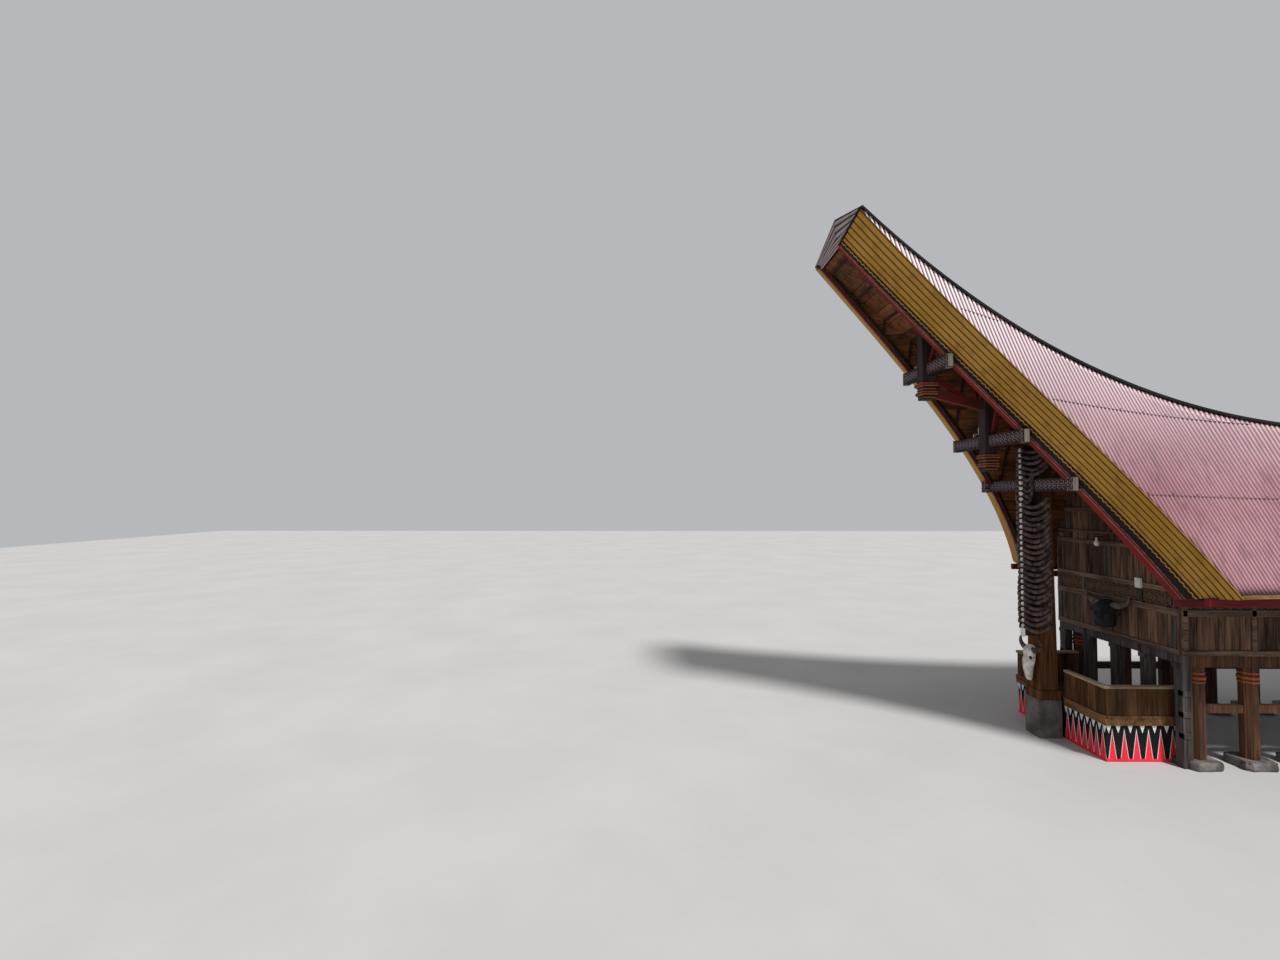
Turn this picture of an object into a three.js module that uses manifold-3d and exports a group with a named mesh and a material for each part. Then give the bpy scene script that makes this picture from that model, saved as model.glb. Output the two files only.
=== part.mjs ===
// A tongkonan: a boarded house on pillars under a saddle-backed roof of metal sheets.
// Millimetres, +Z up. The front faces -Y, and right is +X for someone facing the front.
// The origin is on the ground under the middle of the roof.
import * as THREE from "three";
import { mergeVertices } from "three/addons/utils/BufferGeometryUtils.js";
import Module from "manifold-3d";

const wasm = await Module();
wasm.setup();

// Space left between pieces that touch.
const FIT = 0.3;

// Roof lines. The shoulder is the upper edge of a side slope, and the cap lies between the two.
const SADDLE_SPAN = 9880;
const SHOULDER_HALF_WIDTH = 1550;
const SHOULDER_LOW = 6390;
const SHOULDER_RISE = 4464;
const SADDLE_POWER = 2.16;
const EAVE_HALF_WIDTH_END = 3086;
const EAVE_HALF_WIDTH_MIDDLE = 2822;
const CAP_RISE_MIDDLE = 200;
const CAP_RISE_TIP = 460;

// The gable edge sweeps forward as it climbs: where it starts, how much it rises, and the linear,
// square and cubic shares of its sweep. It runs between two shares of the rise.
const GABLE_FOOT = { y: 4190, z: 3550 };
const GABLE_RISE = 7310;
const GABLE_SWEEP = [3600, 3600, -1510];
const GABLE_START = -0.0085;
const GABLE_END = 0.99;

// Thicknesses of the roof's layers, and how far its inner lining lies from the outer sheets.
const SHEET_LAYER = 90;
const CAP_LAYER = 40;
const LINING_LAYER = 40;
const BAND_LAYER = 50;
const BAND_WIDTH = { low: 600, more: 150 };
const BAND_FORWARD = { low: 170, more: 90 };
const VERGE_WIDTH = 950;
const VERGE_FORWARD = 340;
const VERGE_TAIL = 0.011;
const TIP_SKEW = 0.02;
const CAP_LINING_DROP = 450;
const EAVE_SOFFIT_DROP = 150;

// The body and what it stands on.
const BODY_HALF_WIDTH = 1670;
const BODY_HALF_LENGTH = 3930;
const WALL = 60;
const SIDE_WALL_TOP_DROP = 900;
const BODY_BOTTOM = 2120;
const FLOOR_LAYER = 100;
const FRONT_POST_WIDTH = 180;
const FRONT_POST_SPACING = 790;
const FRONT_POSTS_EACH_SIDE = 2;
const LINTEL_HEIGHT = 170;
const SLEEPER_HEIGHT = 120;
const PILLAR_WIDTH = 290;
const PILLAR_X = 1500;
const PILLAR_END_Y = 3550;
const PILLARS_PER_SIDE = 8;
const STONE_WIDTH = 520;
const STONE_HEIGHT = 150;
const TIE_BOTTOM = 1000;
const TIE_HEIGHT = 150;
const TIE_WIDTH = 100;
const BEARER_BOTTOM = 1890;

// The veranda in front.
const VERANDA_HALF_WIDTH = 1360;
const VERANDA_FRONT = -5150;
const VERANDA_BACK = -3752;
const VERANDA_BASE_HEIGHT = 730;
const VERANDA_BOARD = 40;
const VERANDA_FLOOR_LAYER = 60;
const RAILING_TOP = 1450;
const RAIL_CAP_WIDTH = 100;
const RAIL_CAP_HEIGHT = 45;
const RAIL_SKIRT_BOTTOM = 700;
const RAIL_SKIRT_TOP = 870;
const RAIL_SKIRT_PROUD = 30;
const RAILING_POST_GAP = 245;

// The post that carries the front overhang, and the horns on it.
const HORN_POST_Y = -5460;
const HORN_POST_WIDTH = 400;
const HORN_POST_TOP_WIDTH = 280;
const HORN_POST_BLOCK_WIDTH = 480;
const HORN_POST_BLOCK_HEIGHT = 800;
const COLLAR_WIDTH = 450;
const COLLAR_HEIGHT = 190;
const HORN_PAIRS = 33;
const HORN_LOWEST = 2330;
const HORN_HIGHEST = 6150;
const HORN_REACH = 460;
const HORN_FRONT = -5880;
const HORN_THICKNESS = 62;
const HORN_SIDES = 5;
const HORN_STEPS = 3;

// Cross beams of the overhang: distance from the middle, underside, half length.
const CROSS_BEAM_HEIGHT = 270;
const CROSS_BEAM_THICKNESS = 120;
const CROSS_BEAMS = [
  { name: "upper", y: 7880, bottom: 7770, halfLength: 1000 },
  { name: "middle", y: 6560, bottom: 6200, halfLength: 1300 },
  { name: "lower", y: 5677, bottom: 5240, halfLength: 1510 },
];

// Hanging posts with their tiered corbels, and the long beam that they stand on.
const HANGING_POSTS = [
  { name: "upper", y: 7880, bottom: 7620, width: 280 },
  { name: "lower", y: 6550, bottom: 6050, width: 260 },
];
const CORBEL_TIERS = [1.25, 0.95, 1.15, 0.8];
const CORBEL_TIER_HEIGHT = 92;
const CANTILEVER_WIDTH = 150;
const CANTILEVER_HEIGHT = 200;
const CANTILEVER_OUTER = { y: 7735, z: 7400 };
const CANTILEVER_WALL_Z = 6400;

const COLOURS = {
  pinkSheet: { color: 0xb98c92, roughness: 0.45, metalness: 0.5 },
  yellowSheet: { color: 0xa98428, roughness: 0.5, metalness: 0.4 },
  darkSheet: { color: 0x3b2c28, roughness: 0.6, metalness: 0.4 },
  redBoard: { color: 0x6d1d1d, roughness: 0.6, metalness: 0 },
  lining: { color: 0x9a5f2c, roughness: 0.7, metalness: 0 },
  greyTimber: { color: 0x6b6259, roughness: 0.85, metalness: 0 },
  brownTimber: { color: 0x5c4330, roughness: 0.8, metalness: 0 },
  railTimber: { color: 0x6f4e2e, roughness: 0.75, metalness: 0 },
  paintedBase: { color: 0xa02830, roughness: 0.6, metalness: 0 },
  stone: { color: 0x77756e, roughness: 0.95, metalness: 0 },
  horn: { color: 0x3c3632, roughness: 0.55, metalness: 0 },
  bone: { color: 0xcfc8b6, roughness: 0.7, metalness: 0 },
};

const materials = Object.fromEntries(
  Object.entries(COLOURS).map(([name, values]) => [name, new THREE.MeshStandardMaterial(values)]),
);

const house = new THREE.Group();

function add(name, geometry, material) {
  const mesh = new THREE.Mesh(geometry, materials[material]);
  mesh.name = name;
  house.add(mesh);
}

// Solids

function signedVolume(positions, index) {
  let volume = 0;
  const [a, b, c] = [new THREE.Vector3(), new THREE.Vector3(), new THREE.Vector3()];
  for (let i = 0; i < index.length; i += 3) {
    a.fromArray(positions, 3 * index[i]);
    b.fromArray(positions, 3 * index[i + 1]);
    c.fromArray(positions, 3 * index[i + 2]);
    volume += a.dot(b.cross(c)) / 6;
  }
  return volume;
}

// A closed body through rings of points, with faces turned outwards.
function loft(rings) {
  const count = rings[0].length;
  const positions = rings.flat(2);
  const index = [];
  for (let r = 0; r + 1 < rings.length; r++) {
    for (let i = 0; i < count; i++) {
      const a = r * count + i;
      const b = r * count + ((i + 1) % count);
      index.push(a, b, b + count, a, b + count, a + count);
    }
  }
  const last = (rings.length - 1) * count;
  for (let i = 1; i + 1 < count; i++) {
    index.push(0, i + 1, i);
    index.push(last, last + i, last + i + 1);
  }
  if (signedVolume(positions, index) < 0) {
    index.reverse();
  }
  const geometry = new THREE.BufferGeometry();
  geometry.setAttribute("position", new THREE.Float32BufferAttribute(positions, 3));
  geometry.setIndex(index);
  return geometry;
}

function box(x0, x1, y0, y1, z0, z1) {
  const geometry = new THREE.BoxGeometry(x1 - x0, y1 - y0, z1 - z0);
  geometry.translate((x0 + x1) / 2, (y0 + y1) / 2, (z0 + z1) / 2);
  return geometry;
}

function toManifold(geometry) {
  const bare = geometry.clone();
  bare.deleteAttribute("normal");
  bare.deleteAttribute("uv");
  const merged = mergeVertices(bare, 1e-3);
  return new wasm.Manifold(new wasm.Mesh({
    numProp: 3,
    vertProperties: new Float32Array(merged.attributes.position.array),
    triVerts: new Uint32Array(merged.index.array),
  }));
}

function fromManifold(solid) {
  const mesh = solid.getMesh();
  const geometry = new THREE.BufferGeometry();
  geometry.setAttribute("position", new THREE.Float32BufferAttribute(mesh.vertProperties, 3));
  geometry.setIndex(Array.from(mesh.triVerts));
  return geometry;
}

function join(geometries) {
  return fromManifold(geometries.map(toManifold).reduce((sum, next) => sum.add(next)));
}

// Cuts a piece by its neighbours and keeps its largest part.
function cut(geometry, cutters) {
  const rest = cutters.map(toManifold).reduce((left, next) => left.subtract(next), toManifold(geometry));
  const bodies = rest.decompose();
  return fromManifold(bodies.reduce((best, next) => (next.volume() > best.volume() ? next : best)));
}

function turnToRear(geometry) {
  return geometry.clone().rotateZ(Math.PI);
}

function steps(from, to, count) {
  return Array.from({ length: count + 1 }, (_, i) => from + ((to - from) * i) / count);
}

// Roof surfaces

// The gable edge at a share of its rise, as distances from the middle.
function gableLine(q) {
  const [linear, square, cubic] = GABLE_SWEEP;
  return {
    y: GABLE_FOOT.y + linear * q + square * q ** 2 + cubic * q ** 3,
    z: GABLE_FOOT.z + GABLE_RISE * q,
  };
}

const EAVE_HALF_LENGTH = gableLine(GABLE_START).y;
const EAVE_HEIGHT = gableLine(GABLE_START).z;
const ROOF_HALF_LENGTH = gableLine(GABLE_END).y;

function shoulderZ(y) {
  return SHOULDER_LOW + SHOULDER_RISE * (Math.abs(y) / SADDLE_SPAN) ** SADDLE_POWER;
}

function capRise(y) {
  return CAP_RISE_MIDDLE + (CAP_RISE_TIP - CAP_RISE_MIDDLE) * (y / SADDLE_SPAN) ** 2;
}

function eaveHalfWidth(y) {
  const share = Math.min(1, Math.abs(y) / EAVE_HALF_LENGTH);
  return EAVE_HALF_WIDTH_MIDDLE + (EAVE_HALF_WIDTH_END - EAVE_HALF_WIDTH_MIDDLE) * share ** 2;
}

function slopeX(y, z) {
  const share = (shoulderZ(y) - z) / (shoulderZ(y) - EAVE_HEIGHT);
  return SHOULDER_HALF_WIDTH + (eaveHalfWidth(y) - SHOULDER_HALF_WIDTH) * share;
}

// The point of the front right gable edge at q, and the direction forward across the edge.
function gableEdge(q) {
  const here = gableLine(q);
  const next = gableLine(q + 0.001);
  const along = new THREE.Vector2(next.y - here.y, next.z - here.z).normalize();
  return {
    point: new THREE.Vector3(slopeX(here.y, here.z), -here.y, here.z),
    forward: new THREE.Vector3(0, -along.y, -along.x),
  };
}

// A point of the verge: inwards from the gable edge by a distance, and forward by another.
function vergePoint(q, inwards, forwards) {
  const { point, forward } = gableEdge(q * (1 - (TIP_SKEW * inwards) / VERGE_WIDTH));
  return point.clone().add(new THREE.Vector3(-inwards, 0, 0)).addScaledVector(forward, forwards);
}

function gableShareAt(y) {
  let low = GABLE_START;
  let high = GABLE_END;
  for (let i = 0; i < 40; i++) {
    const middle = (low + high) / 2;
    if (gableLine(middle).y < y) {
      low = middle;
    } else {
      high = middle;
    }
  }
  return (low + high) / 2;
}

const mirrored = (side) => ([x, y, z]) => [side * x, y, z];
const OVERHANG_STATIONS = 13;
const MIDDLE_STATIONS = 10;

function lengthStations(corner, tip) {
  const overhang = steps(corner, tip, OVERHANG_STATIONS).slice(1);
  const middle = steps(-corner, corner, MIDDLE_STATIONS);
  return [...overhang.map((y) => -y).reverse(), ...middle, ...overhang];
}

// The sheets and battens of one side, from the shoulder down to the eave and the gable edges.
function roofSlope(side, grow = 0) {
  const rings = lengthStations(EAVE_HALF_LENGTH, ROOF_HALF_LENGTH - SHEET_LAYER).map((y) => {
    const top = shoulderZ(y);
    const bottom = Math.abs(y) <= EAVE_HALF_LENGTH ? EAVE_HEIGHT : gableLine(gableShareAt(Math.abs(y))).z;
    const fall = new THREE.Vector2(eaveHalfWidth(y) - SHOULDER_HALF_WIDTH, EAVE_HEIGHT - top).normalize();
    const place = (x, z, depth, run) => [
      x + fall.y * depth + fall.x * run, y, z - fall.x * depth + fall.y * run,
    ];
    return [
      place(SHOULDER_HALF_WIDTH, top, -grow, -grow),
      place(slopeX(y, bottom), bottom, -grow, grow),
      place(slopeX(y, bottom), bottom, SHEET_LAYER + grow, grow),
      place(SHOULDER_HALF_WIDTH, top, SHEET_LAYER + grow, -grow),
    ].map(mirrored(side));
  });
  return loft(rings);
}

function roofCap() {
  const edge = SHOULDER_HALF_WIDTH + CAP_LAYER / 2;
  const slopeStations = lengthStations(EAVE_HALF_LENGTH, ROOF_HALF_LENGTH - SHEET_LAYER);
  const rings = [-ROOF_HALF_LENGTH, ...slopeStations, ROOF_HALF_LENGTH].map((y) => {
    const low = shoulderZ(y) + 3 * FIT - (capRise(y) * CAP_LAYER) / (2 * edge);
    const high = low + capRise(y);
    return [
      [-edge, y, low],
      [0, y, high],
      [edge, y, low],
      [edge, y, low + CAP_LAYER],
      [0, y, high + CAP_LAYER],
      [-edge, y, low + CAP_LAYER],
    ];
  });
  return roofCapBody(rings);
}

// The cap's ring is bent, so it is built as two halves that share the peak.
function roofCapBody(rings) {
  const right = rings.map((ring) => [ring[1], ring[2], ring[3], ring[4]]);
  const left = rings.map((ring) => [ring[0], ring[1], ring[4], ring[5]]);
  return join([loft(right), loft(left)]);
}

const VERGE_SHARES = steps(GABLE_START - VERGE_TAIL, GABLE_END, 15);

const gableSide = () => ({ inwards: 0, forwards: 2 * FIT });
const bandInnerSide = (q) => ({
  inwards: BAND_WIDTH.low + BAND_WIDTH.more * q,
  forwards: BAND_FORWARD.low + BAND_FORWARD.more * q,
});
const vergeInnerSide = () => ({ inwards: VERGE_WIDTH, forwards: VERGE_FORWARD });

// A strip of the verge between two lines, each set inwards and forward from the gable edge.
function vergeStrip(side, qs, outerAt, innerAt, grow = 0) {
  const rings = qs.map((q) => {
    const [outer, inner] = [outerAt(q), innerAt(q)];
    const front = BAND_LAYER + grow;
    return [
      vergePoint(q, outer.inwards - grow, outer.forwards - grow),
      vergePoint(q, inner.inwards + grow, inner.forwards - grow),
      vergePoint(q, inner.inwards + grow, inner.forwards + front),
      vergePoint(q, outer.inwards - grow, outer.forwards + front),
    ].map((point) => mirrored(side)(point.toArray()));
  });
  return loft(rings);
}

function gableBand(side) {
  return cut(vergeStrip(side, VERGE_SHARES, gableSide, bandInnerSide), [roofSlope(side, FIT), bargeboard(side, FIT)]);
}

function bargeboard(side, grow = 0) {
  return vergeStrip(side, VERGE_SHARES, bandInnerSide, vergeInnerSide, grow);
}

function innerTip() {
  return -vergePoint(GABLE_END, VERGE_WIDTH, VERGE_FORWARD).y;
}

// The lower edge of the lining at y, on the front half or the rear half alike.
function liningFoot(y) {
  const distance = Math.abs(y);
  if (distance <= -vergePoint(GABLE_START, VERGE_WIDTH, VERGE_FORWARD).y) {
    return [eaveHalfWidth(y) - VERGE_WIDTH, EAVE_HEIGHT - EAVE_SOFFIT_DROP];
  }
  let low = GABLE_START;
  let high = GABLE_END;
  for (let i = 0; i < 40; i++) {
    const middle = (low + high) / 2;
    if (-vergePoint(middle, VERGE_WIDTH, VERGE_FORWARD).y < distance) {
      low = middle;
    } else {
      high = middle;
    }
  }
  const foot = vergePoint(low, VERGE_WIDTH, VERGE_FORWARD);
  return [foot.x, foot.z];
}

function capLiningZ(y) {
  return shoulderZ(y) - CAP_LINING_DROP;
}

// The boards under one slope, over the rooms and under the overhangs.
function roofLining(side, grow = 0) {
  const corner = -vergePoint(GABLE_START, VERGE_WIDTH, VERGE_FORWARD).y;
  const head = SHOULDER_HALF_WIDTH - VERGE_WIDTH;
  const rings = lengthStations(corner, innerTip() - BAND_LAYER).map((y) => {
    const [footX, footZ] = liningFoot(y);
    const rise = new THREE.Vector2(head - footX, capLiningZ(y) - footZ).normalize();
    const place = (x, z, shift, run) => [
      x + rise.y * shift + rise.x * run, y, z - rise.x * shift + rise.y * run,
    ];
    return [
      place(head, capLiningZ(y), -grow, grow),
      place(footX, footZ, -grow, -grow),
      place(footX, footZ, LINING_LAYER + grow, -grow),
      place(head, capLiningZ(y), LINING_LAYER + grow, grow),
    ].map(mirrored(side));
  });
  return loft(rings);
}

function capLining(grow = 0) {
  const edge = SHOULDER_HALF_WIDTH - VERGE_WIDTH + LINING_LAYER / 2;
  const corner = -vergePoint(GABLE_START, VERGE_WIDTH, VERGE_FORWARD).y;
  const rings = lengthStations(corner, innerTip() - BAND_LAYER).map((y) => {
    const low = capLiningZ(y) + 1 - grow;
    const high = low + LINING_LAYER + 2 * grow;
    return [[-edge, y, low], [edge, y, low], [edge, y, high], [-edge, y, high]];
  });
  return loft(rings);
}

// The board under the eave, from the sheets' lower edge in to the lining.
function eaveSoffit(side) {
  const end = EAVE_HALF_LENGTH - BAND_LAYER;
  const rings = steps(-end, end, MIDDLE_STATIONS).map((y) => {
    const outer = eaveHalfWidth(y) - SHEET_LAYER / 3;
    const inner = eaveHalfWidth(y) - VERGE_WIDTH - LINING_LAYER;
    const drop = SHEET_LAYER / 2;
    return [
      [outer, y, EAVE_HEIGHT - drop],
      [inner, y, EAVE_HEIGHT - EAVE_SOFFIT_DROP - 2 * FIT],
      [inner, y, EAVE_HEIGHT - EAVE_SOFFIT_DROP - LINING_LAYER],
      [outer, y, EAVE_HEIGHT - drop - LINING_LAYER],
    ].map(mirrored(side));
  });
  return loft(rings);
}

// The plate that closes the end of the cap: upright over the shoulders, leaning forward below.
function capFascia() {
  const tip = gableEdge(GABLE_END).point;
  const inner = vergePoint(GABLE_END, VERGE_WIDTH, VERGE_FORWARD);
  const front = tip.y - FIT;
  const peak = tip.z + capRise(ROOF_HALF_LENGTH) + CAP_LAYER;
  const shoulder = tip.z + CAP_LAYER;
  const upper = [front, front - BAND_LAYER].map((y) => [
    [-tip.x, y, tip.z], [tip.x, y, tip.z], [tip.x, y, shoulder], [0, y, peak], [-tip.x, y, shoulder],
  ]);
  const lower = [-1, 1].map((side) => [
    [side * tip.x, front, tip.z + 1],
    [side * inner.x, inner.y - FIT, inner.z],
    [side * inner.x, inner.y - BAND_LAYER, inner.z],
    [side * tip.x, front - BAND_LAYER, tip.z + 1],
  ]);
  return join([loft(upper), loft(lower)]);
}

// Overhang frame

function crossBeam({ y, bottom, halfLength }, grow = 0) {
  const half = CROSS_BEAM_THICKNESS / 2 + grow;
  return box(-halfLength, halfLength, -y - half, -y + half, bottom - grow, bottom + CROSS_BEAM_HEIGHT + grow);
}

function cantileverBeam(grow = 0) {
  const half = CANTILEVER_WIDTH / 2 + grow;
  const ends = [
    [-CANTILEVER_OUTER.y, CANTILEVER_OUTER.z],
    [-BODY_HALF_LENGTH - FIT, CANTILEVER_WALL_Z],
  ];
  const deep = CANTILEVER_HEIGHT / 2 + grow;
  return loft(ends.map(([y, z]) => [
    [-half, y, z - deep], [half, y, z - deep], [half, y, z + deep], [-half, y, z + deep],
  ]));
}

function hangingPost({ y, bottom, width }) {
  const half = width / 2;
  const parts = [box(-half, half, -y - half, -y + half, bottom - 1, bottom + 2000)];
  CORBEL_TIERS.forEach((size, tier) => {
    const wide = half * size;
    const top = bottom - tier * CORBEL_TIER_HEIGHT;
    parts.push(box(-wide, wide, -y - half, -y + wide, top - CORBEL_TIER_HEIGHT - 1, top));
  });
  return join(parts);
}

// Post, block and horns

function squarePost(y, z0, z1, bottomWidth, topWidth) {
  const ring = (width, z) => {
    const half = width / 2;
    return [[-half, y - half, z], [half, y - half, z], [half, y + half, z], [-half, y + half, z]];
  };
  return loft([ring(bottomWidth, z0), ring(topWidth, z1)]);
}

const HORN_POST_FOOT = HORN_POST_BLOCK_HEIGHT + FIT;
const HORN_POST_TOP = CANTILEVER_WALL_Z + (CANTILEVER_OUTER.z - CANTILEVER_WALL_Z) / 2;

function overhangPost() {
  const collarTop = HORN_POST_FOOT + COLLAR_HEIGHT;
  const shaft = squarePost(HORN_POST_Y, HORN_POST_FOOT, HORN_POST_TOP, HORN_POST_WIDTH, HORN_POST_TOP_WIDTH);
  const collar = squarePost(HORN_POST_Y, HORN_POST_FOOT, collarTop, COLLAR_WIDTH, COLLAR_WIDTH);
  return join([shaft, collar]);
}

// Where the front face of the tapered horn post stands at a height.
function hornPostFront(z) {
  const share = (z - HORN_POST_FOOT) / (HORN_POST_TOP - HORN_POST_FOOT);
  return HORN_POST_Y - (HORN_POST_WIDTH + (HORN_POST_TOP_WIDTH - HORN_POST_WIDTH) * share) / 2;
}

function overhangPostBlock() {
  return squarePost(HORN_POST_Y, 0, HORN_POST_BLOCK_HEIGHT, HORN_POST_BLOCK_WIDTH, HORN_POST_BLOCK_WIDTH);
}

// One horn: a round section that tapers along an arc outwards, back and up.
function horn(side, z, sweep) {
  const rings = steps(0, 1, HORN_STEPS).map((share) => {
    const radius = (HORN_THICKNESS / 2) * (1.05 - 0.85 * share);
    const x = side * (20 + HORN_REACH * Math.sin((share * Math.PI) / 2));
    const y = HORN_FRONT + 40 + sweep * share ** 1.5;
    const lift = z - 90 * Math.sin(share * Math.PI) + 120 * share ** 2;
    return Array.from({ length: HORN_SIDES }, (_, i) => {
      const turn = (i * 2 * Math.PI) / HORN_SIDES;
      return [x - side * radius * 0.4 * Math.cos(turn), y + radius * Math.cos(turn), lift + radius * Math.sin(turn)];
    });
  });
  return loft(rings);
}

function hornStack() {
  const beam = CROSS_BEAMS[2];
  const beamFront = -beam.y - CROSS_BEAM_THICKNESS / 2;
  const spine = loft([HORN_LOWEST - 90, HORN_HIGHEST + 90].map((z) => {
    const back = hornPostFront(z) - FIT;
    return [[-45, HORN_FRONT, z], [45, HORN_FRONT, z], [45, back, z], [-45, back, z]];
  }));
  const horns = steps(HORN_LOWEST, HORN_HIGHEST, HORN_PAIRS - 1).flatMap((z) => {
    const nearBeam = z > beam.bottom - 200 && z < beam.bottom + CROSS_BEAM_HEIGHT + 120;
    const sweep = nearBeam ? beamFront - HORN_FRONT - 110 : 360;
    return [horn(1, z, sweep), horn(-1, z, sweep)];
  });
  return cut(join([spine, ...horns]), [crossBeam(beam, FIT)]);
}

// A long skull with its two horns, hung by its crown on the post below the horns.
function buffaloSkull() {
  const rows = [
    [2130, 60, 60, 0], [2020, 130, 120, 0], [1820, 150, 170, 0], [1560, 110, 160, 20], [1180, 75, 120, 60],
    [1010, 55, 70, 80],
  ];
  const face = loft(rows.map(([z, half, deep, lean]) => {
    const back = hornPostFront(z) - FIT;
    const front = back - deep - lean;
    return [[-half, back, z], [half, back, z], [half * 0.8, front, z], [-half * 0.8, front, z]];
  }));
  const horns = [-1, 1].map((side) => loft(steps(0, 1, 5).map((share) => {
    const radius = 42 * (1.1 - 0.8 * share);
    const turn = share * Math.PI * 0.75;
    const x = side * (60 + 260 * Math.sin(turn));
    const z = 1960 + 170 * (1 - Math.cos(turn));
    return Array.from({ length: 6 }, (_, i) => {
      const around = (i * Math.PI) / 3;
      return [x - side * radius * Math.cos(around) * 0.6, hornPostFront(z) - 75 + radius * Math.sin(around),
        z + radius * Math.cos(around)];
    });
  })));
  return join([face, ...horns]);
}

// A dark carved buffalo head with wide horns, fixed on the front wall.
function buffaloHead() {
  const back = -BODY_HALF_LENGTH - FIT;
  const rows = [
    [3010, 60, 40], [2930, 150, 160], [2770, 170, 260], [2560, 120, 330], [2370, 85, 360], [2290, 60, 330],
  ];
  const head = loft(rows.map(([z, half, deep]) => [
    [-half, back, z], [half, back, z], [half * 0.75, back - deep, z], [-half * 0.75, back - deep, z],
  ]));
  const horns = [-1, 1].map((side) => loft(steps(0, 1, 6).map((share) => {
    const radius = 48 * (1.1 - 0.85 * share);
    const turn = share * Math.PI * 0.62;
    const x = side * (90 + 420 * Math.sin(turn));
    const z = 2880 + 310 * (1 - Math.cos(turn));
    return Array.from({ length: 6 }, (_, i) => {
      const around = (i * Math.PI) / 3;
      return [x - side * radius * Math.cos(around) * 0.6, back - 110 + radius * Math.sin(around),
        z + radius * Math.cos(around)];
    });
  })));
  return join([head, ...horns]);
}

// Body

function gableWall() {
  const outer = -BODY_HALF_LENGTH;
  const top = capLiningZ(BODY_HALF_LENGTH) + LINING_LAYER / 2;
  return box(-BODY_HALF_WIDTH, BODY_HALF_WIDTH, outer, outer + WALL, BODY_BOTTOM, top);
}

function sideWall(side, cutters) {
  const inner = BODY_HALF_WIDTH - WALL;
  const end = BODY_HALF_LENGTH - WALL - FIT;
  const [x0, x1] = side > 0 ? [inner, BODY_HALF_WIDTH] : [-BODY_HALF_WIDTH, -inner];
  return cut(box(x0, x1, -end, end, BODY_BOTTOM, SHOULDER_LOW - SIDE_WALL_TOP_DROP), cutters);
}

function floor() {
  const halfWidth = BODY_HALF_WIDTH - WALL - FIT;
  const halfLength = BODY_HALF_LENGTH - WALL - FIT;
  return box(-halfWidth, halfWidth, -halfLength, halfLength, BODY_BOTTOM, BODY_BOTTOM + FLOOR_LAYER);
}

// The row of square posts under a gable wall, with the lintel and the sleeper that join them.
function postRow(grow = 0) {
  const middle = -BODY_HALF_LENGTH + FRONT_POST_WIDTH / 2;
  const half = FRONT_POST_WIDTH / 2 + grow;
  const top = BODY_BOTTOM - FIT;
  const reach = FRONT_POSTS_EACH_SIDE * FRONT_POST_SPACING + half;
  const parts = [
    box(-reach, reach, middle - half, middle + half, top - LINTEL_HEIGHT, top),
    box(-reach, reach, middle - half + 20, middle + half - 20, -grow, SLEEPER_HEIGHT + grow),
  ];
  for (let i = -FRONT_POSTS_EACH_SIDE; i <= FRONT_POSTS_EACH_SIDE; i++) {
    const x = i * FRONT_POST_SPACING;
    parts.push(box(x - half, x + half, middle - half, middle + half, -grow, top - LINTEL_HEIGHT / 2));
  }
  return join(parts);
}

function octagonPost(x, y, width, z0, z1) {
  const geometry = new THREE.CylinderGeometry(width / 2, width / 2, z1 - z0, 8);
  geometry.rotateX(Math.PI / 2);
  geometry.rotateZ(Math.PI / 8);
  geometry.translate(x, y, (z0 + z1) / 2);
  return geometry;
}

// A side's pillars on their stones, with the tie through them and the bearer on top.
function pillarRow(side) {
  const x = side * PILLAR_X;
  const top = BODY_BOTTOM - FIT;
  const end = PILLAR_END_Y + PILLAR_WIDTH / 2;
  const bearerEnd = BODY_HALF_LENGTH - FRONT_POST_WIDTH - 2;
  const parts = [
    box(x - TIE_WIDTH / 2, x + TIE_WIDTH / 2, -end, end, TIE_BOTTOM, TIE_BOTTOM + TIE_HEIGHT),
    box(x - PILLAR_WIDTH / 2, x + PILLAR_WIDTH / 2, -bearerEnd, bearerEnd, BEARER_BOTTOM, top),
  ];
  for (const y of steps(-PILLAR_END_Y, PILLAR_END_Y, PILLARS_PER_SIDE - 1)) {
    parts.push(octagonPost(x, y, PILLAR_WIDTH / Math.cos(Math.PI / 8), STONE_HEIGHT / 2, BEARER_BOTTOM + 20));
    const half = STONE_WIDTH / 2;
    const front = Math.max(y - half, -bearerEnd);
    const back = Math.min(y + half, bearerEnd);
    parts.push(box(x - half, x + half, front, back, 0, STONE_HEIGHT));
  }
  return join(parts);
}

// Veranda

function verandaBase() {
  const w = VERANDA_HALF_WIDTH;
  const t = VERANDA_BOARD;
  return join([
    box(-w, w, VERANDA_FRONT, VERANDA_FRONT + t, 0, VERANDA_BASE_HEIGHT),
    box(-w, -w + t, VERANDA_FRONT, VERANDA_BACK, 0, VERANDA_BASE_HEIGHT),
    box(w - t, w, VERANDA_FRONT, VERANDA_BACK, 0, VERANDA_BASE_HEIGHT),
  ]);
}

function verandaFloor() {
  const low = VERANDA_BASE_HEIGHT + FIT;
  const w = VERANDA_HALF_WIDTH - FIT;
  return box(-w, w, VERANDA_FRONT + FIT, -BODY_HALF_LENGTH - FIT, low, low + VERANDA_FLOOR_LAYER);
}

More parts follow.
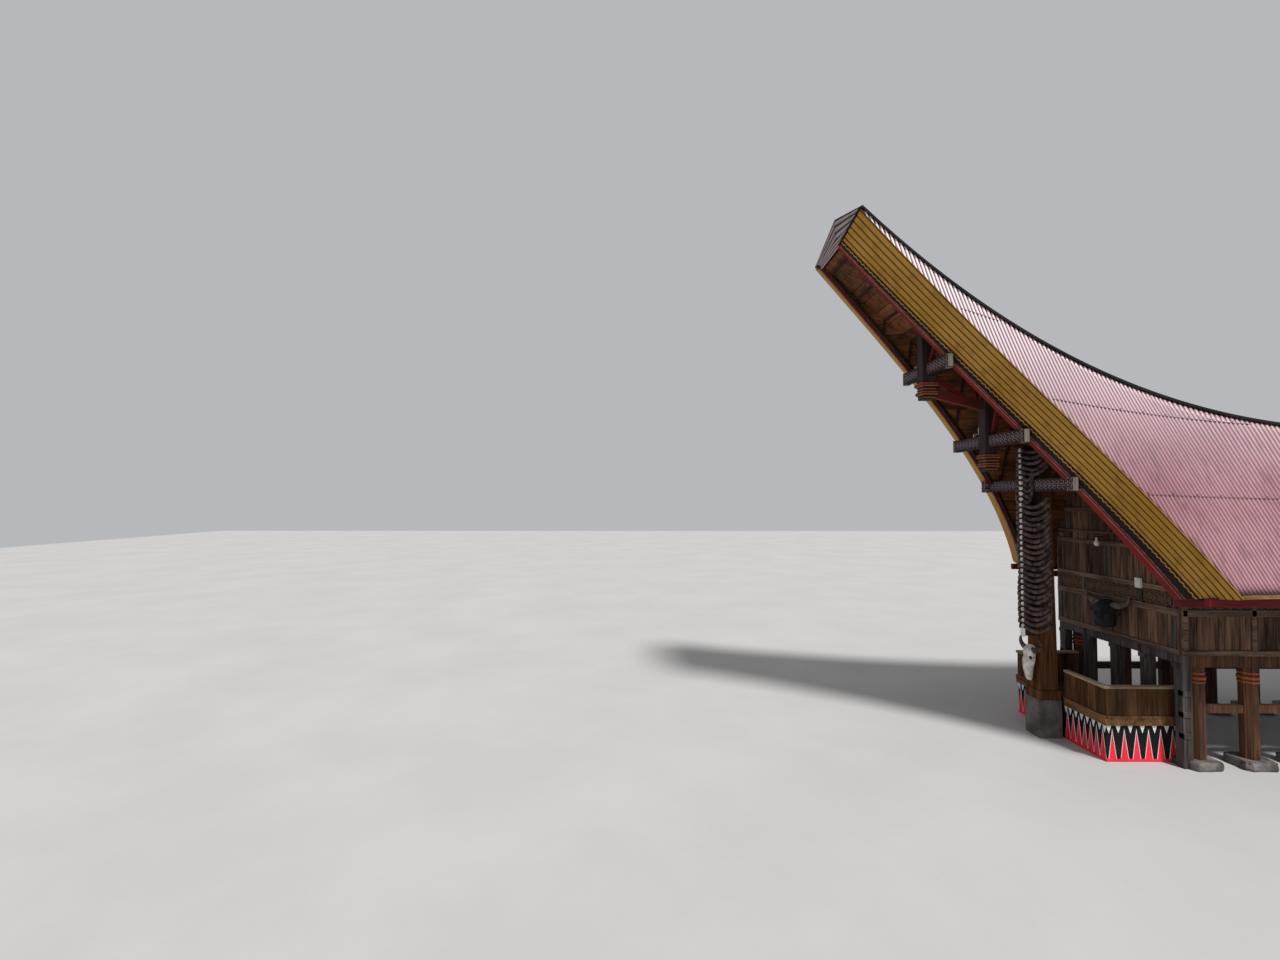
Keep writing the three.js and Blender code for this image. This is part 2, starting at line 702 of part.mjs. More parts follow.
// One half of the railing: the front from the post to the corner, and the side back to the wall.
function railing(side) {
  const face = VERANDA_HALF_WIDTH + RAIL_SKIRT_PROUD;
  const front = VERANDA_FRONT - RAIL_SKIRT_PROUD;
  const inner = VERANDA_HALF_WIDTH + FIT;
  const innerFront = VERANDA_FRONT - FIT;
  const skirt = [RAIL_SKIRT_BOTTOM, RAIL_SKIRT_TOP];
  const boards = [RAIL_SKIRT_TOP - 1, RAILING_TOP - RAIL_CAP_HEIGHT / 2];
  const cap = [RAILING_TOP - RAIL_CAP_HEIGHT, RAILING_TOP];
  const spread = (x0, x1, y0, y1, [z0, z1]) => (side > 0 ? box(x0, x1, y0, y1, z0, z1) : box(-x1, -x0, y0, y1, z0, z1));
  const deep = RAIL_CAP_WIDTH - RAIL_SKIRT_PROUD;
  return join([
    spread(RAILING_POST_GAP, face, front, innerFront, skirt),
    spread(inner, face, front, VERANDA_BACK, skirt),
    spread(RAILING_POST_GAP, inner + FIT, innerFront - 8, innerFront + VERANDA_BOARD - 8, boards),
    spread(inner - VERANDA_BOARD + 8, inner + 8, innerFront - 8, VERANDA_BACK, boards),
    spread(RAILING_POST_GAP, face, front, front + deep, cap),
    spread(face - deep, face, front, VERANDA_BACK, cap),
  ]);
}

// Assembly

const SIDES = [[1, "right"], [-1, "left"]];

const frontBeams = CROSS_BEAMS.map((beam) => crossBeam(beam, FIT));
const allBeams = [...frontBeams, ...frontBeams.map(turnToRear)];
const linings = [roofLining(1, FIT), roofLining(-1, FIT)];

for (const [side, word] of SIDES) {
  add(`roof_slope_${word}`, roofSlope(side), "pinkSheet");
  const boards = [bargeboard(side, FIT), turnToRear(bargeboard(-side, FIT))];
  add(`roof_lining_${word}`, cut(roofLining(side), [...boards, ...allBeams]), "lining");
  add(`eave_soffit_${word}`, cut(eaveSoffit(side), linings), "greyTimber");
  add(`gable_band_front_${word}`, gableBand(side), "yellowSheet");
  add(`gable_band_rear_${word}`, turnToRear(gableBand(-side)), "yellowSheet");
  add(`bargeboard_front_${word}`, cut(bargeboard(side), frontBeams), "redBoard");
  add(`bargeboard_rear_${word}`, turnToRear(cut(bargeboard(-side), frontBeams)), "redBoard");
}
add("roof_cap", roofCap(), "pinkSheet");
add("cap_lining", cut(capLining(), linings), "lining");
add("cap_fascia_front", capFascia(), "darkSheet");
add("cap_fascia_rear", turnToRear(capFascia()), "darkSheet");

for (const beam of CROSS_BEAMS) {
  add(`cross_beam_front_${beam.name}`, crossBeam(beam), "greyTimber");
  add(`cross_beam_rear_${beam.name}`, turnToRear(crossBeam(beam)), "greyTimber");
}
const beamCutters = [...frontBeams, cantileverBeam(FIT)];
for (const post of HANGING_POSTS) {
  const hanging = cut(hangingPost(post), [capLining(FIT), ...beamCutters]);
  add(`hanging_post_front_${post.name}`, hanging, "greyTimber");
  add(`hanging_post_rear_${post.name}`, turnToRear(hanging), "greyTimber");
}
add("cantilever_beam_front", cantileverBeam(), "brownTimber");
add("cantilever_beam_rear", turnToRear(cantileverBeam()), "brownTimber");

const carryingPost = cut(overhangPost(), beamCutters);
add("horn_post", carryingPost, "brownTimber");
add("horn_post_block", overhangPostBlock(), "stone");
add("rear_overhang_post", turnToRear(carryingPost), "brownTimber");
add("rear_overhang_post_block", turnToRear(overhangPostBlock()), "stone");
add("horn_stack", hornStack(), "horn");
add("buffalo_skull", buffaloSkull(), "bone");
add("buffalo_head", buffaloHead(), "horn");

const ceilings = [...linings, capLining(FIT)];
add("front_wall", cut(gableWall(), ceilings), "greyTimber");
add("rear_wall", cut(turnToRear(gableWall()), ceilings), "greyTimber");
for (const [side, word] of SIDES) {
  add(`side_wall_${word}`, sideWall(side, ceilings), "greyTimber");
  add(`pillar_row_${word}`, pillarRow(side), "brownTimber");
  add(`railing_${word}`, railing(side), "railTimber");
}
add("floor", floor(), "brownTimber");
add("post_row_front", postRow(), "greyTimber");
add("post_row_rear", turnToRear(postRow()), "greyTimber");
add("veranda_base", cut(verandaBase(), [postRow(FIT)]), "paintedBase");
add("veranda_floor", verandaFloor(), "railTimber");

export default house;
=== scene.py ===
"""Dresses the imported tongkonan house: sheet roofing, verges, timber, horns, walls and veranda."""
import logging
import math
import random
from collections.abc import Callable
from dataclasses import dataclass, replace
from enum import Enum

import bmesh
import bpy
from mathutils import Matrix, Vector


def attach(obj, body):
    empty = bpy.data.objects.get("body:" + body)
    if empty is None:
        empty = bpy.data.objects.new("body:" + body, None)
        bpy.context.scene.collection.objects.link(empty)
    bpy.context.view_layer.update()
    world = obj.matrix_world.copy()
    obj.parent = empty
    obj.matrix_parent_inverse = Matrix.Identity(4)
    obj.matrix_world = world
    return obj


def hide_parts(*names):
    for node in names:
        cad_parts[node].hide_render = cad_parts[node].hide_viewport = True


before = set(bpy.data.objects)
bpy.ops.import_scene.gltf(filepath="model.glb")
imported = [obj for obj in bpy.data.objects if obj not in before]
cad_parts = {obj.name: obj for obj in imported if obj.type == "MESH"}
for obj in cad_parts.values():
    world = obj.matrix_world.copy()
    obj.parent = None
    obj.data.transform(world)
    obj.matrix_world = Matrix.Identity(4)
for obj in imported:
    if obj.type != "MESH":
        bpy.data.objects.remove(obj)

log = logging.getLogger("tongkonan")
Pair = tuple[float, float]
Pairs = tuple[Pair, ...]
Triples = tuple[tuple[float, float, float], ...]
Colour = tuple[float, float, float]
Node = bpy.types.Node
Socket = bpy.types.NodeSocket
Tree = bpy.types.NodeTree
Piece = bpy.types.Object
BODY = "root"
PHOTO_WIDTH = 1280


class Sign(Enum):
    """A sign along an axis, with the word that the CAD's names have for it."""

    @property
    def word(self) -> str:
        """The word in the CAD's names."""
        return self.name.lower()


class Side(Sign):
    """The two long sides of the house, and the sign of X on each."""

    RIGHT = 1
    LEFT = -1

    def x(self, distance: float) -> float:
        """X at a distance from the middle of the house."""
        return self.value * distance


class End(Sign):
    """The two ends of the house, and the factor of Y that takes a front point there."""

    FRONT = 1
    REAR = -1

    def y(self, distance: float) -> float:
        """Y at a distance from the middle of the house."""
        return -self.value * distance


class Run(Enum):
    """The direction that a timber's grain runs in, as the axis's number."""

    ACROSS = 0
    ALONG = 1
    UP = 2


def steps(start: float, stop: float, count: int) -> list[float]:
    """Even steps from start to stop, both ends among them."""
    return [start + (stop - start) * i / count for i in range(count + 1)]


def shades(count: int) -> list[float]:
    """A shade from 0 to 1 for each of a number of planks, the same at every run."""
    chance = random.Random(count)
    return [chance.random() for _ in range(count)]


def clamp(value: float, reach: float) -> float:
    """A value kept between a reach below zero and the same above."""
    return max(-reach, min(reach, value))


def crossing(low: float, high: float, holds: Callable[[float], bool], halvings: int = 24) -> Pair:
    """Narrows down where a condition ends.

    Args:
        low: a value where it holds.
        high: a value where it doesn't.
        holds: the condition.
        halvings: how often the range is halved.

    Returns:
        The last value found where it holds, and the first where it doesn't.
    """
    for _ in range(halvings):
        middle = (low + high) / 2
        if holds(middle):
            low = middle
        else:
            high = middle
    return low, high


def placed(point: Vector, side: Side = Side.RIGHT, end: End = End.FRONT) -> Vector:
    """A point of the front right corner, taken to the same place on another corner."""
    return Vector((point[0] * side.value, point[1] * end.value, point[2]))


def circle(centre: tuple, first: tuple, second: tuple, count: int, shift: float = 0.0) -> list[Vector]:
    """Points round an ellipse.

    Args:
        centre: its middle.
        first: from the middle to where it starts.
        second: from the middle to where it is a quarter turn on.
        count: the number of points.
        shift: how far on the first point lies, in steps.

    Returns:
        The points.
    """
    centre, first, second = Vector(centre), Vector(first), Vector(second)
    turns = [math.tau * (i + shift) / count for i in range(count)]
    return [centre + first * math.cos(turn) + second * math.sin(turn) for turn in turns]


def level_circle(centre: tuple, radius: float, count: int, shift: float = 0.0) -> list[Vector]:
    """Points round a level circle."""
    return circle(centre, (radius, 0, 0), (0, radius, 0), count, shift)


@dataclass(frozen=True)
class RoofForm:
    """The rules that the roof's surfaces follow, in metres."""

    shoulder: float = 1.55
    saddle_height: float = 6.39
    saddle_rise: float = 4.464
    saddle_span: float = 9.88
    saddle_power: float = 2.16
    eave_half_end: float = 3.086
    eave_half_middle: float = 2.822
    cap_rise_middle: float = 0.20
    cap_rise_more: float = 0.26
    cap_layer: float = 0.04
    foot_y: float = 4.19
    foot_z: float = 3.55
    gable_rise: float = 7.31
    sweep: tuple[float, float, float] = (3.6, 3.6, -1.51)
    start: float = -0.0085
    end: float = 0.99
    verge_width: float = 0.95
    verge_forward: float = 0.34
    band_width: Pair = (0.60, 0.15)
    band_forward: Pair = (0.17, 0.09)
    band_layer: float = 0.05
    verge_tail: float = 0.009
    tip_skew: float = 0.02
    lining_drop: float = 0.45
    soffit_drop: float = 0.15

    def gable(self, q: float) -> Pair:
        """Distance from the middle and height of the gable edge at a share of its rise."""
        linear, square, cubic = self.sweep
        return self.foot_y + linear * q + square * q**2 + cubic * q**3, self.foot_z + self.gable_rise * q

    @property
    def eave_height(self) -> float:
        """Height of the sheets' lower edge."""
        return self.gable(self.start)[1]

    @property
    def eave_length(self) -> float:
        """Half the length of the sheets' lower edge."""
        return self.gable(self.start)[0]

    @property
    def half_length(self) -> float:
        """Half the length of the roof at its tips."""
        return self.gable(self.end)[0]

    @property
    def cap_half(self) -> float:
        """Half the width of the lining under the cap."""
        return self.shoulder - self.verge_width

    def shoulder_z(self, y: float) -> float:
        """Height of the shoulder line."""
        return self.saddle_height + self.saddle_rise * (abs(y) / self.saddle_span) ** self.saddle_power

    def lining_z(self, y: float) -> float:
        """Height of the lining under the cap."""
        return self.shoulder_z(y) - self.lining_drop

    def cap_rise(self, y: float) -> float:
        """Height of the cap's peak over the shoulders."""
        return self.cap_rise_middle + self.cap_rise_more * (y / self.saddle_span) ** 2

    def eave_half(self, y: float) -> float:
        """Half the width of the roof at the eave."""
        share = min(1.0, abs(y) / self.eave_length)
        return self.eave_half_middle + (self.eave_half_end - self.eave_half_middle) * share**2

    def slope_x(self, y: float, z: float) -> float:
        """Distance of the slope's outer surface from the middle plane."""
        share = (self.shoulder_z(y) - z) / (self.shoulder_z(y) - self.eave_height)
        return self.shoulder + (self.eave_half(y) - self.shoulder) * share

    def gable_line_at(self, z: float) -> float:
        """Distance of the gable edge from the middle, at a height."""
        return self.gable(max(self.start, min(self.end, (z - self.foot_z) / self.gable_rise)))[0]

    def verge(self, q: float, inwards: float, forwards: float) -> Vector:
        """A point of the front right verge.

        Args:
            q: the share of the gable's rise.
            inwards: distance from the gable edge towards the middle plane.
            forwards: distance forward, square to the edge.

        Returns:
            The point.
        """
        q *= 1 - self.tip_skew * inwards / self.verge_width
        y, z = self.gable(q)
        next_y, next_z = self.gable(q + 0.001)
        along = Vector((next_y - y, next_z - z)).normalized()
        edge = Vector((self.slope_x(y, z) - inwards, -y, z))
        return edge + Vector((0, -along.y, -along.x)) * forwards

    def inner_edge(self, q: float) -> Vector:
        """A point of the front right verge's inner edge."""
        return self.verge(q, self.verge_width, self.verge_forward)

    def band_edge(self, q: float) -> Pair:
        """How far inwards and forwards the yellow band's inner edge lies."""
        inwards, forwards = self.band_width, self.band_forward
        return inwards[0] + inwards[1] * q, forwards[0] + forwards[1] * q

    def board(self, q: float, share: float, lift: float = 0.0) -> Vector:
        """A point of the front right bargeboard, at a share of its width and lifted off it."""
        inwards, forwards = self.band_edge(q)
        reach = inwards + (self.verge_width - inwards) * share
        push = forwards + (self.verge_forward - forwards) * share
        return self.verge(q, reach, push + self.band_layer + lift)

    def lining_foot(self, y: float) -> Pair:
        """X and Z of the lining's lower edge."""
        distance = abs(y)
        if distance <= -self.inner_edge(self.start).y:
            return self.eave_half(y) - self.verge_width, self.eave_height - self.soffit_drop
        share, _ = crossing(self.start, self.end, lambda q: -self.inner_edge(q).y < distance, 30)
        foot = self.inner_edge(share)
        return foot.x, foot.z


ROOF = RoofForm()


class Graph:
    """A node tree that is being drawn up, for a material or for geometry."""

    def __init__(self, tree: Tree) -> None:
        """Starts on a tree."""
        self.tree = tree

    def add(self, kind: str, inputs: dict | None = None, **settings: object) -> Node:
        """Adds a node.

        Args:
            kind: the node's type.
            inputs: a value, or a socket to link, for each input's name or number.
            settings: the node's own properties.

        Returns:
            The new node.
        """
        node = self.tree.nodes.new(kind)
        for name, value in settings.items():
            setattr(node, name, value)
        for key, value in (inputs or {}).items():
            self.feed(node.inputs[key], value)
        return node

    def feed(self, socket: Socket, value: object) -> None:
        """Links a socket or a node's first output to an input, or sets its value."""
        if isinstance(value, Node):
            value = value.outputs[0]
        if isinstance(value, Socket):
            self.tree.links.new(value, socket)
        elif socket.type == "RGBA" and len(value) == 3:
            socket.default_value = (*value, 1.0)
        else:
            socket.default_value = value

    def maths(self, operation: str, *values: object) -> Socket:
        """The result of a Math node."""
        return self.add("ShaderNodeMath", dict(enumerate(values)), operation=operation).outputs[0]

    def plus(self, first: object, second: object) -> Socket:
        """The sum of two values."""
        return self.maths("ADD", first, second)

    def minus(self, first: object, second: object) -> Socket:
        """The difference of two values."""
        return self.maths("SUBTRACT", first, second)

    def times(self, first: object, second: object) -> Socket:
        """The product of two values."""
        return self.maths("MULTIPLY", first, second)

    def over(self, first: object, second: object) -> Socket:
        """The quotient of two values."""
        return self.maths("DIVIDE", first, second)

    def blend(self, factor: object, low: object, high: object, how: str = "MIX") -> Socket:
        """A colour between two, or one worked on by the other."""
        node = self.add("ShaderNodeMix", {0: factor, 6: low, 7: high}, data_type="RGBA", blend_type=how)
        return node.outputs[2]

    def shaded(self, colour: object, shade: object) -> Socket:
        """A colour made darker or lighter by a factor."""
        grey = self.add("ShaderNodeCombineColor", {0: shade, 1: shade, 2: shade})
        return self.blend(1.0, colour, grey, "MULTIPLY")

    def span(self, value: object, start: float, stop: float, low: float = 0.0, high: float = 1.0) -> Socket:
        """A value spread from one range to another, smoothly and within its ends."""
        inputs = {"Value": value, "From Min": start, "From Max": stop, "To Min": low, "To Max": high}
        return self.add("ShaderNodeMapRange", inputs, interpolation_type="SMOOTHSTEP").outputs[0]

    def noise(self, vector: object, scale: float, detail: float = 4.0, rough: float = 0.6) -> Socket:
        """The value of a Noise Texture."""
        inputs = {"Vector": vector, "Scale": scale, "Detail": detail, "Roughness": rough}
        return self.add("ShaderNodeTexNoise", inputs).outputs[0]

    def chance(self, seed: object) -> Socket:
        """A random value from 0 to 1 for a number."""
        return self.add("ShaderNodeTexWhiteNoise", {"W": seed}, noise_dimensions="1D").outputs[0]

    def vector(self, x: object = 0.0, y: object = 0.0, z: object = 0.0) -> Socket:
        """A vector made of three values."""
        return self.add("ShaderNodeCombineXYZ", {0: x, 1: y, 2: z}).outputs[0]

    def stretched(self, vector: object, factors: object) -> Socket:
        """A vector stretched by a factor for each axis."""
        return self.add("ShaderNodeVectorMath", {0: vector, 1: factors}, operation="MULTIPLY").outputs[0]

    def stored(self, name: str) -> Socket:
        """The value of one of the mesh's attributes, in a material."""
        return self.add("ShaderNodeAttribute", attribute_name=name).outputs["Fac"]


class Group(Graph):
    """A node group with named inputs and outputs."""

    kinds = {float: "NodeSocketFloat", int: "NodeSocketInt", tuple: "NodeSocketVector"}

    def __init__(
        self, name: str, takes: dict[str, object], gives: tuple[str, ...], kind: str = "ShaderNodeTree",
        output: str = "NodeSocketFloat",
    ) -> None:
        """Starts the group.

        Args:
            name: the group's name.
            takes: for each input, its default value, or the type of a socket that has none.
            gives: the outputs' names.
            kind: the type of the tree.
            output: the type of the outputs.
        """
        super().__init__(bpy.data.node_groups.new(name, kind))
        for label, value in takes.items():
            typed = isinstance(value, str)
            socket_type = value if typed else self.kinds[type(value)]
            socket = self.tree.interface.new_socket(label, in_out="INPUT", socket_type=socket_type)
            if not typed:
                socket.default_value = value
        for label in gives:
            self.tree.interface.new_socket(label, in_out="OUTPUT", socket_type=output)
        self.given = {socket.name: socket for socket in self.add("NodeGroupInput").outputs if socket.name}
        self.result = self.add("NodeGroupOutput")

    def __getitem__(self, name: str) -> Socket:
        """One of the group's inputs."""
        return self.given[name]

    def give(self, **values: object) -> Tree:
        """Feeds the outputs, and returns the finished tree."""
        for name, value in values.items():
            self.feed(self.result.inputs[name], value)
        return self.tree


class Effects:
    """The shader node groups that several finishes share, each built once."""

    def __init__(self) -> None:
        """Starts with none built."""
        self.built: dict[str, Tree] = {}

    def place(self, graph: Graph, effect: str, **inputs: object) -> list[Socket]:
        """Places an effect in a material.

        Args:
            graph: the material's tree.
            effect: the name of the method that builds it.
            inputs: values or sockets for its inputs.

        Returns:
            The effect's outputs.
        """
        if effect not in self.built:
            self.built[effect] = getattr(self, effect)()
        return list(graph.add("ShaderNodeGroup", inputs, node_tree=self.built[effect]).outputs)

    def stain(
        self, graph: Graph, vector: Socket, scale: float, streak: float = 1.0, low: float = 0.45,
        high: float = 0.65,
    ) -> Socket:
        """Places stains, and returns their mask."""
        return self.place(graph, "stains", Vector=vector, Scale=scale, Streak=streak, From=low, To=high)[0]

    @staticmethod
    def grain() -> Tree:
        """Timber grain along X of the vector, with cracks and its relief."""
        group = Group("timber grain", {"Vector": (0.0, 0.0, 0.0)}, ("Tone", "Crack", "Relief"))
        place = group["Vector"]
        fibre = group.noise(group.stretched(place, (1.6, 34.0, 34.0)), 1.0, 6.0, 0.65)
        figure = group.noise(group.stretched(place, (0.7, 7.0, 7.0)), 1.0, 3.0, 0.5)
        split = group.noise(group.stretched(place, (0.9, 46.0, 46.0)), 1.0, 2.0, 0.5)
        crack = group.span(split, 0.66, 0.74)
        tone = group.plus(group.times(fibre, 0.55), group.times(figure, 0.45))
        return group.give(Tone=group.span(tone, 0.34, 0.66), Crack=crack, Relief=group.minus(tone, crack))

    @staticmethod
    def boards() -> Tree:
        """Boards side by side: the tone of each and the dark joints between them."""
        takes = {"Across": 0.0, "Along": 0.0, "Width": 0.2, "Length": 3.0, "Joint": 0.008}
        group = Group("boards", takes, ("Tone", "Joint"))
        place = group.over(group["Across"], group["Width"])
        board = group.maths("FLOOR", place)
        run = group.plus(group.over(group["Along"], group["Length"]), group.chance(board))
        seed = group.plus(group.times(board, 7.31), group.maths("FLOOR", run))
        gaps = []
        for share, size in ((place, group["Width"]), (run, group["Length"])):
            part = group.maths("FRACT", share)
            gap = group.times(group.maths("MINIMUM", part, group.minus(1.0, part)), size)
            gaps.append(group.minus(1.0, group.span(group.over(gap, group["Joint"]), 0.2, 1.0)))
        return group.give(Tone=group.chance(seed), Joint=group.maths("MAXIMUM", *gaps))

    @staticmethod
    def stains() -> Tree:
        """Patches of weathering, drawn down along Z by a streak factor."""
        takes = {"Vector": (0.0, 0.0, 0.0), "Scale": 1.0, "Streak": 1.0, "From": 0.45, "To": 0.65}
        group = Group("stains", takes, ("Mask",))
        down = group.vector(1.0, 1.0, group.over(1.0, group["Streak"]))
        spots = group.noise(group.stretched(group["Vector"], down), group["Scale"], 7.0, 0.62)
        return group.give(Mask=group.span(spots, group["From"], group["To"]))

    @staticmethod
    def scrolls() -> Tree:
        """Carved squares in rows, each with a scroll inside a border."""
        group = Group("scroll carving", {"Along": 0.0, "Up": 0.0, "Size": 0.14, "Coils": 24.0}, ("Cut",))
        places = [group.over(group[name], group["Size"]) for name in ("Along", "Up")]
        x, y = [group.minus(group.maths("FRACT", place), 0.5) for place in places]
        reach = group.maths("SQRT", group.plus(group.times(x, x), group.times(y, y)))
        turn = group.times(group.maths("ARCTAN2", y, x), 2.0)
        coil = group.maths("SINE", group.plus(group.times(reach, group["Coils"]), turn))
        edge = group.maths("MAXIMUM", group.maths("ABSOLUTE", x), group.maths("ABSOLUTE", y))
        cut = group.times(group.span(coil, -0.1, 0.35), group.span(edge, 0.40, 0.42, 1.0, 0.0))
        border = group.times(group.span(edge, 0.43, 0.44), group.span(edge, 0.48, 0.47))
        return group.give(Cut=group.maths("MAXIMUM", cut, border))


EFFECTS = Effects()


def darker(colour: Colour, share: float) -> Colour:
    """A share of a colour."""
    return tuple(part * share for part in colour)


class Finish:
    """The base of every finish: it starts a material and closes it with one Principled shader."""

    name: str

    def material(self) -> bpy.types.Material:
        """The finish's material, built at its first use."""
        return bpy.data.materials.get(self.name) or self.build()

    def build(self) -> bpy.types.Material:
        """Builds the material."""
        raise NotImplementedError

    def begin(self) -> tuple[Graph, Socket, list[Socket]]:
        """Starts the material: its tree, its Object coordinates, and those by axis."""
        made = bpy.data.materials.new(self.name)
        made.use_nodes = True
        made.node_tree.nodes.clear()
        graph = Graph(made.node_tree)
        coords = graph.add("ShaderNodeTexCoord").outputs["Object"]
        return graph, coords, list(graph.add("ShaderNodeSeparateXYZ", {0: coords}).outputs)

    def close(
        self, graph: Graph, colour: object, rough: object, height: object, depth: float,
        specular: float = 0.12,
    ) -> bpy.types.Material:
        """Ends the material.

        Args:
            graph: the material's tree.
            colour: the base colour.
            rough: the roughness.
            height: the relief, from 0 to 1.
            depth: how deep the relief is, in metres.
            specular: how strongly the surface mirrors, the same all over.

        Returns:
            The material.
        """
        bump = graph.add("ShaderNodeBump", {"Height": height, "Distance": depth, "Strength": 1.0})
        inputs = {"Base Color": colour, "Roughness": rough, "Normal": bump, "Specular IOR Level": specular}
        shader = graph.add("ShaderNodeBsdfPrincipled", inputs)
        graph.add("ShaderNodeOutputMaterial", {"Surface": shader})
        return bpy.data.materials[self.name]


@dataclass(frozen=True)
class Timber(Finish):
    """Timber with grain, boards where it has them, paint where it is painted, and dirt."""

    name: str
    light: Colour
    dark: Colour
    run: Run = Run.ALONG
    board: float = 0.0
    across: Run = Run.UP
    board_length: float = 3.0
    joint: float = 0.008
    paint: Colour | None = None
    worn: float = 0.3
    dirt: float = 0.5
    dirt_colour: Colour = (0.035, 0.026, 0.02)
    shade: float = 0.0
    rough: float = 0.82
    relief: float = 0.004

    def build(self) -> bpy.types.Material:
        """Builds the material."""
        graph, coords, axes = self.begin()
        run = self.run.value
        along = axes[run]
        turned = graph.vector(along, axes[(run + 1) % 3], axes[(run + 2) % 3])
        tone, crack, height = EFFECTS.place(graph, "grain", Vector=turned)
        colour = graph.blend(tone, self.dark, self.light)
        if self.paint:
            bare = graph.times(EFFECTS.stain(graph, turned, 3.0, 0.35, high=0.72), graph.span(tone, 0.2, 0.9))
            cover = graph.minus(1.0, graph.times(bare, self.worn * 2))
            faded = graph.blend(graph.noise(coords, 1.3), darker(self.paint, 0.72), self.paint)
            colour = graph.blend(cover, colour, faded)
        if self.board:
            sizes = {"Width": self.board, "Length": self.board_length, "Joint": self.joint}
            places = {"Across": axes[self.across.value], "Along": along}
            shade, joint = EFFECTS.place(graph, "boards", **places, **sizes)
            colour = graph.shaded(colour, graph.span(shade, 0.0, 1.0, 0.62, 1.2))
            colour = graph.blend(joint, colour, self.dirt_colour)
            height = graph.minus(height, graph.times(joint, 2.0))
        if self.shade:
            shade = graph.span(graph.stored("shade"), 0.0, 1.0, 1 - self.shade, 1 + self.shade)
            colour = graph.shaded(colour, shade)
        colour = graph.blend(crack, colour, darker(self.dark, 0.35))
        dirt = EFFECTS.stain(graph, coords, 1.7, 3.0, 0.42, 0.7)
        colour = graph.blend(graph.times(dirt, self.dirt), colour, self.dirt_colour)
        rough = graph.span(tone, 0.0, 1.0, self.rough, self.rough - 0.12)
        return self.close(graph, colour, rough, height, self.relief)


@dataclass(frozen=True)
class SheetMetal(Finish):
    """Painted corrugated sheet: a painted sky highlight high up, painted shade in its troughs, dirt streaks,
    rust, and darker at its foot where one is given.
    """

    name: str
    paint: Colour
    faded: Colour
    # The dark colour of the dirt streaks, also used for the painted shade in the troughs and for the
    # darkening at the foot.
    grime: Colour
    rust_colour: Colour = (0.16, 0.055, 0.025)
    rust: float = 0.2
    # How far painted shade darkens the troughs, low and high on the sheets.
    trough: float = 0.75
    trough_high: float = 0.95
    # The heights over which the painted highlight and the troughs' painted shade grow; then the highlight's
    # colour and its greatest share.
    bleached: Pair = (0.0, 1.0)
    bleach: Colour = (0.7, 0.6, 0.6)
    bleach_share: float = 0.0
    foot: Pair | None = None
    rough: float = 0.42
    specular: float = 0.5
    relief: float = 0.0006

    def build(self) -> bpy.types.Material:
        """Builds the material."""
        graph, coords, axes = self.begin()
        up = axes[2]
        patches = graph.span(graph.noise(coords, 0.55, 5.0), 0.35, 0.65)
        colour = graph.blend(patches, self.paint, self.faded)
        streak = EFFECTS.stain(graph, coords, 6.0, 9.0, 0.46, 0.72)
        colour = graph.blend(graph.times(streak, 0.35), colour, self.grime)
        # Painted highlight: higher up, the colour is blended towards a pale sky reflection.
        if self.bleach_share:
            colour = graph.blend(graph.span(up, *self.bleached, 0.0, self.bleach_share), colour, self.bleach)
        # Painted shade: the troughs are darkened, more strongly higher up.
        strength = graph.span(up, *self.bleached, self.trough, self.trough_high)
        deep = graph.times(graph.span(graph.stored("trough"), 0.3, 0.85), strength)
        colour = graph.blend(deep, colour, self.grime)
        spots = EFFECTS.stain(graph, coords, 9.0, 2.0, 0.60, 0.72)
        colour = graph.blend(graph.times(spots, self.rust), colour, self.rust_colour)
        # Darker towards the sheets' lower edge.
        if self.foot:
            colour = graph.blend(graph.span(up, *self.foot, 0.8, 0.0), colour, self.grime)
        rough = graph.span(patches, 0.0, 1.0, self.rough, self.rough + 0.15)
        height = graph.plus(graph.times(streak, 0.4), graph.noise(coords, 60.0, 2.0))
        return self.close(graph, colour, rough, height, self.relief, self.specular)


@dataclass(frozen=True)
class Mottled(Finish):
    """A rough, mottled stuff such as horn, bone, concrete or stone."""

    name: str
    light: Colour
    dark: Colour
    scale: float = 6.0
    pores: float = 40.0
    stain: Colour = (0.05, 0.04, 0.03)
    stain_share: float = 0.4
    streak: float = 2.0
    rough: float = 0.75
    relief: float = 0.004

    def build(self) -> bpy.types.Material:
        """Builds the material."""
        graph, coords, _ = self.begin()
        cloud = graph.span(graph.noise(coords, self.scale, 6.0), 0.3, 0.7)
        pores = graph.noise(coords, self.pores, 3.0, 0.7)
        colour = graph.blend(cloud, self.dark, self.light)
        colour = graph.blend(graph.span(pores, 0.6, 0.75, 0.0, 0.5), colour, self.stain)
        stain = EFFECTS.stain(graph, coords, self.scale * 0.6, self.streak, high=0.7)
        colour = graph.blend(graph.times(stain, self.stain_share), colour, self.stain)
        rough = graph.span(cloud, 0.0, 1.0, self.rough, self.rough - 0.15)
        return self.close(graph, colour, rough, graph.plus(pores, cloud), self.relief)


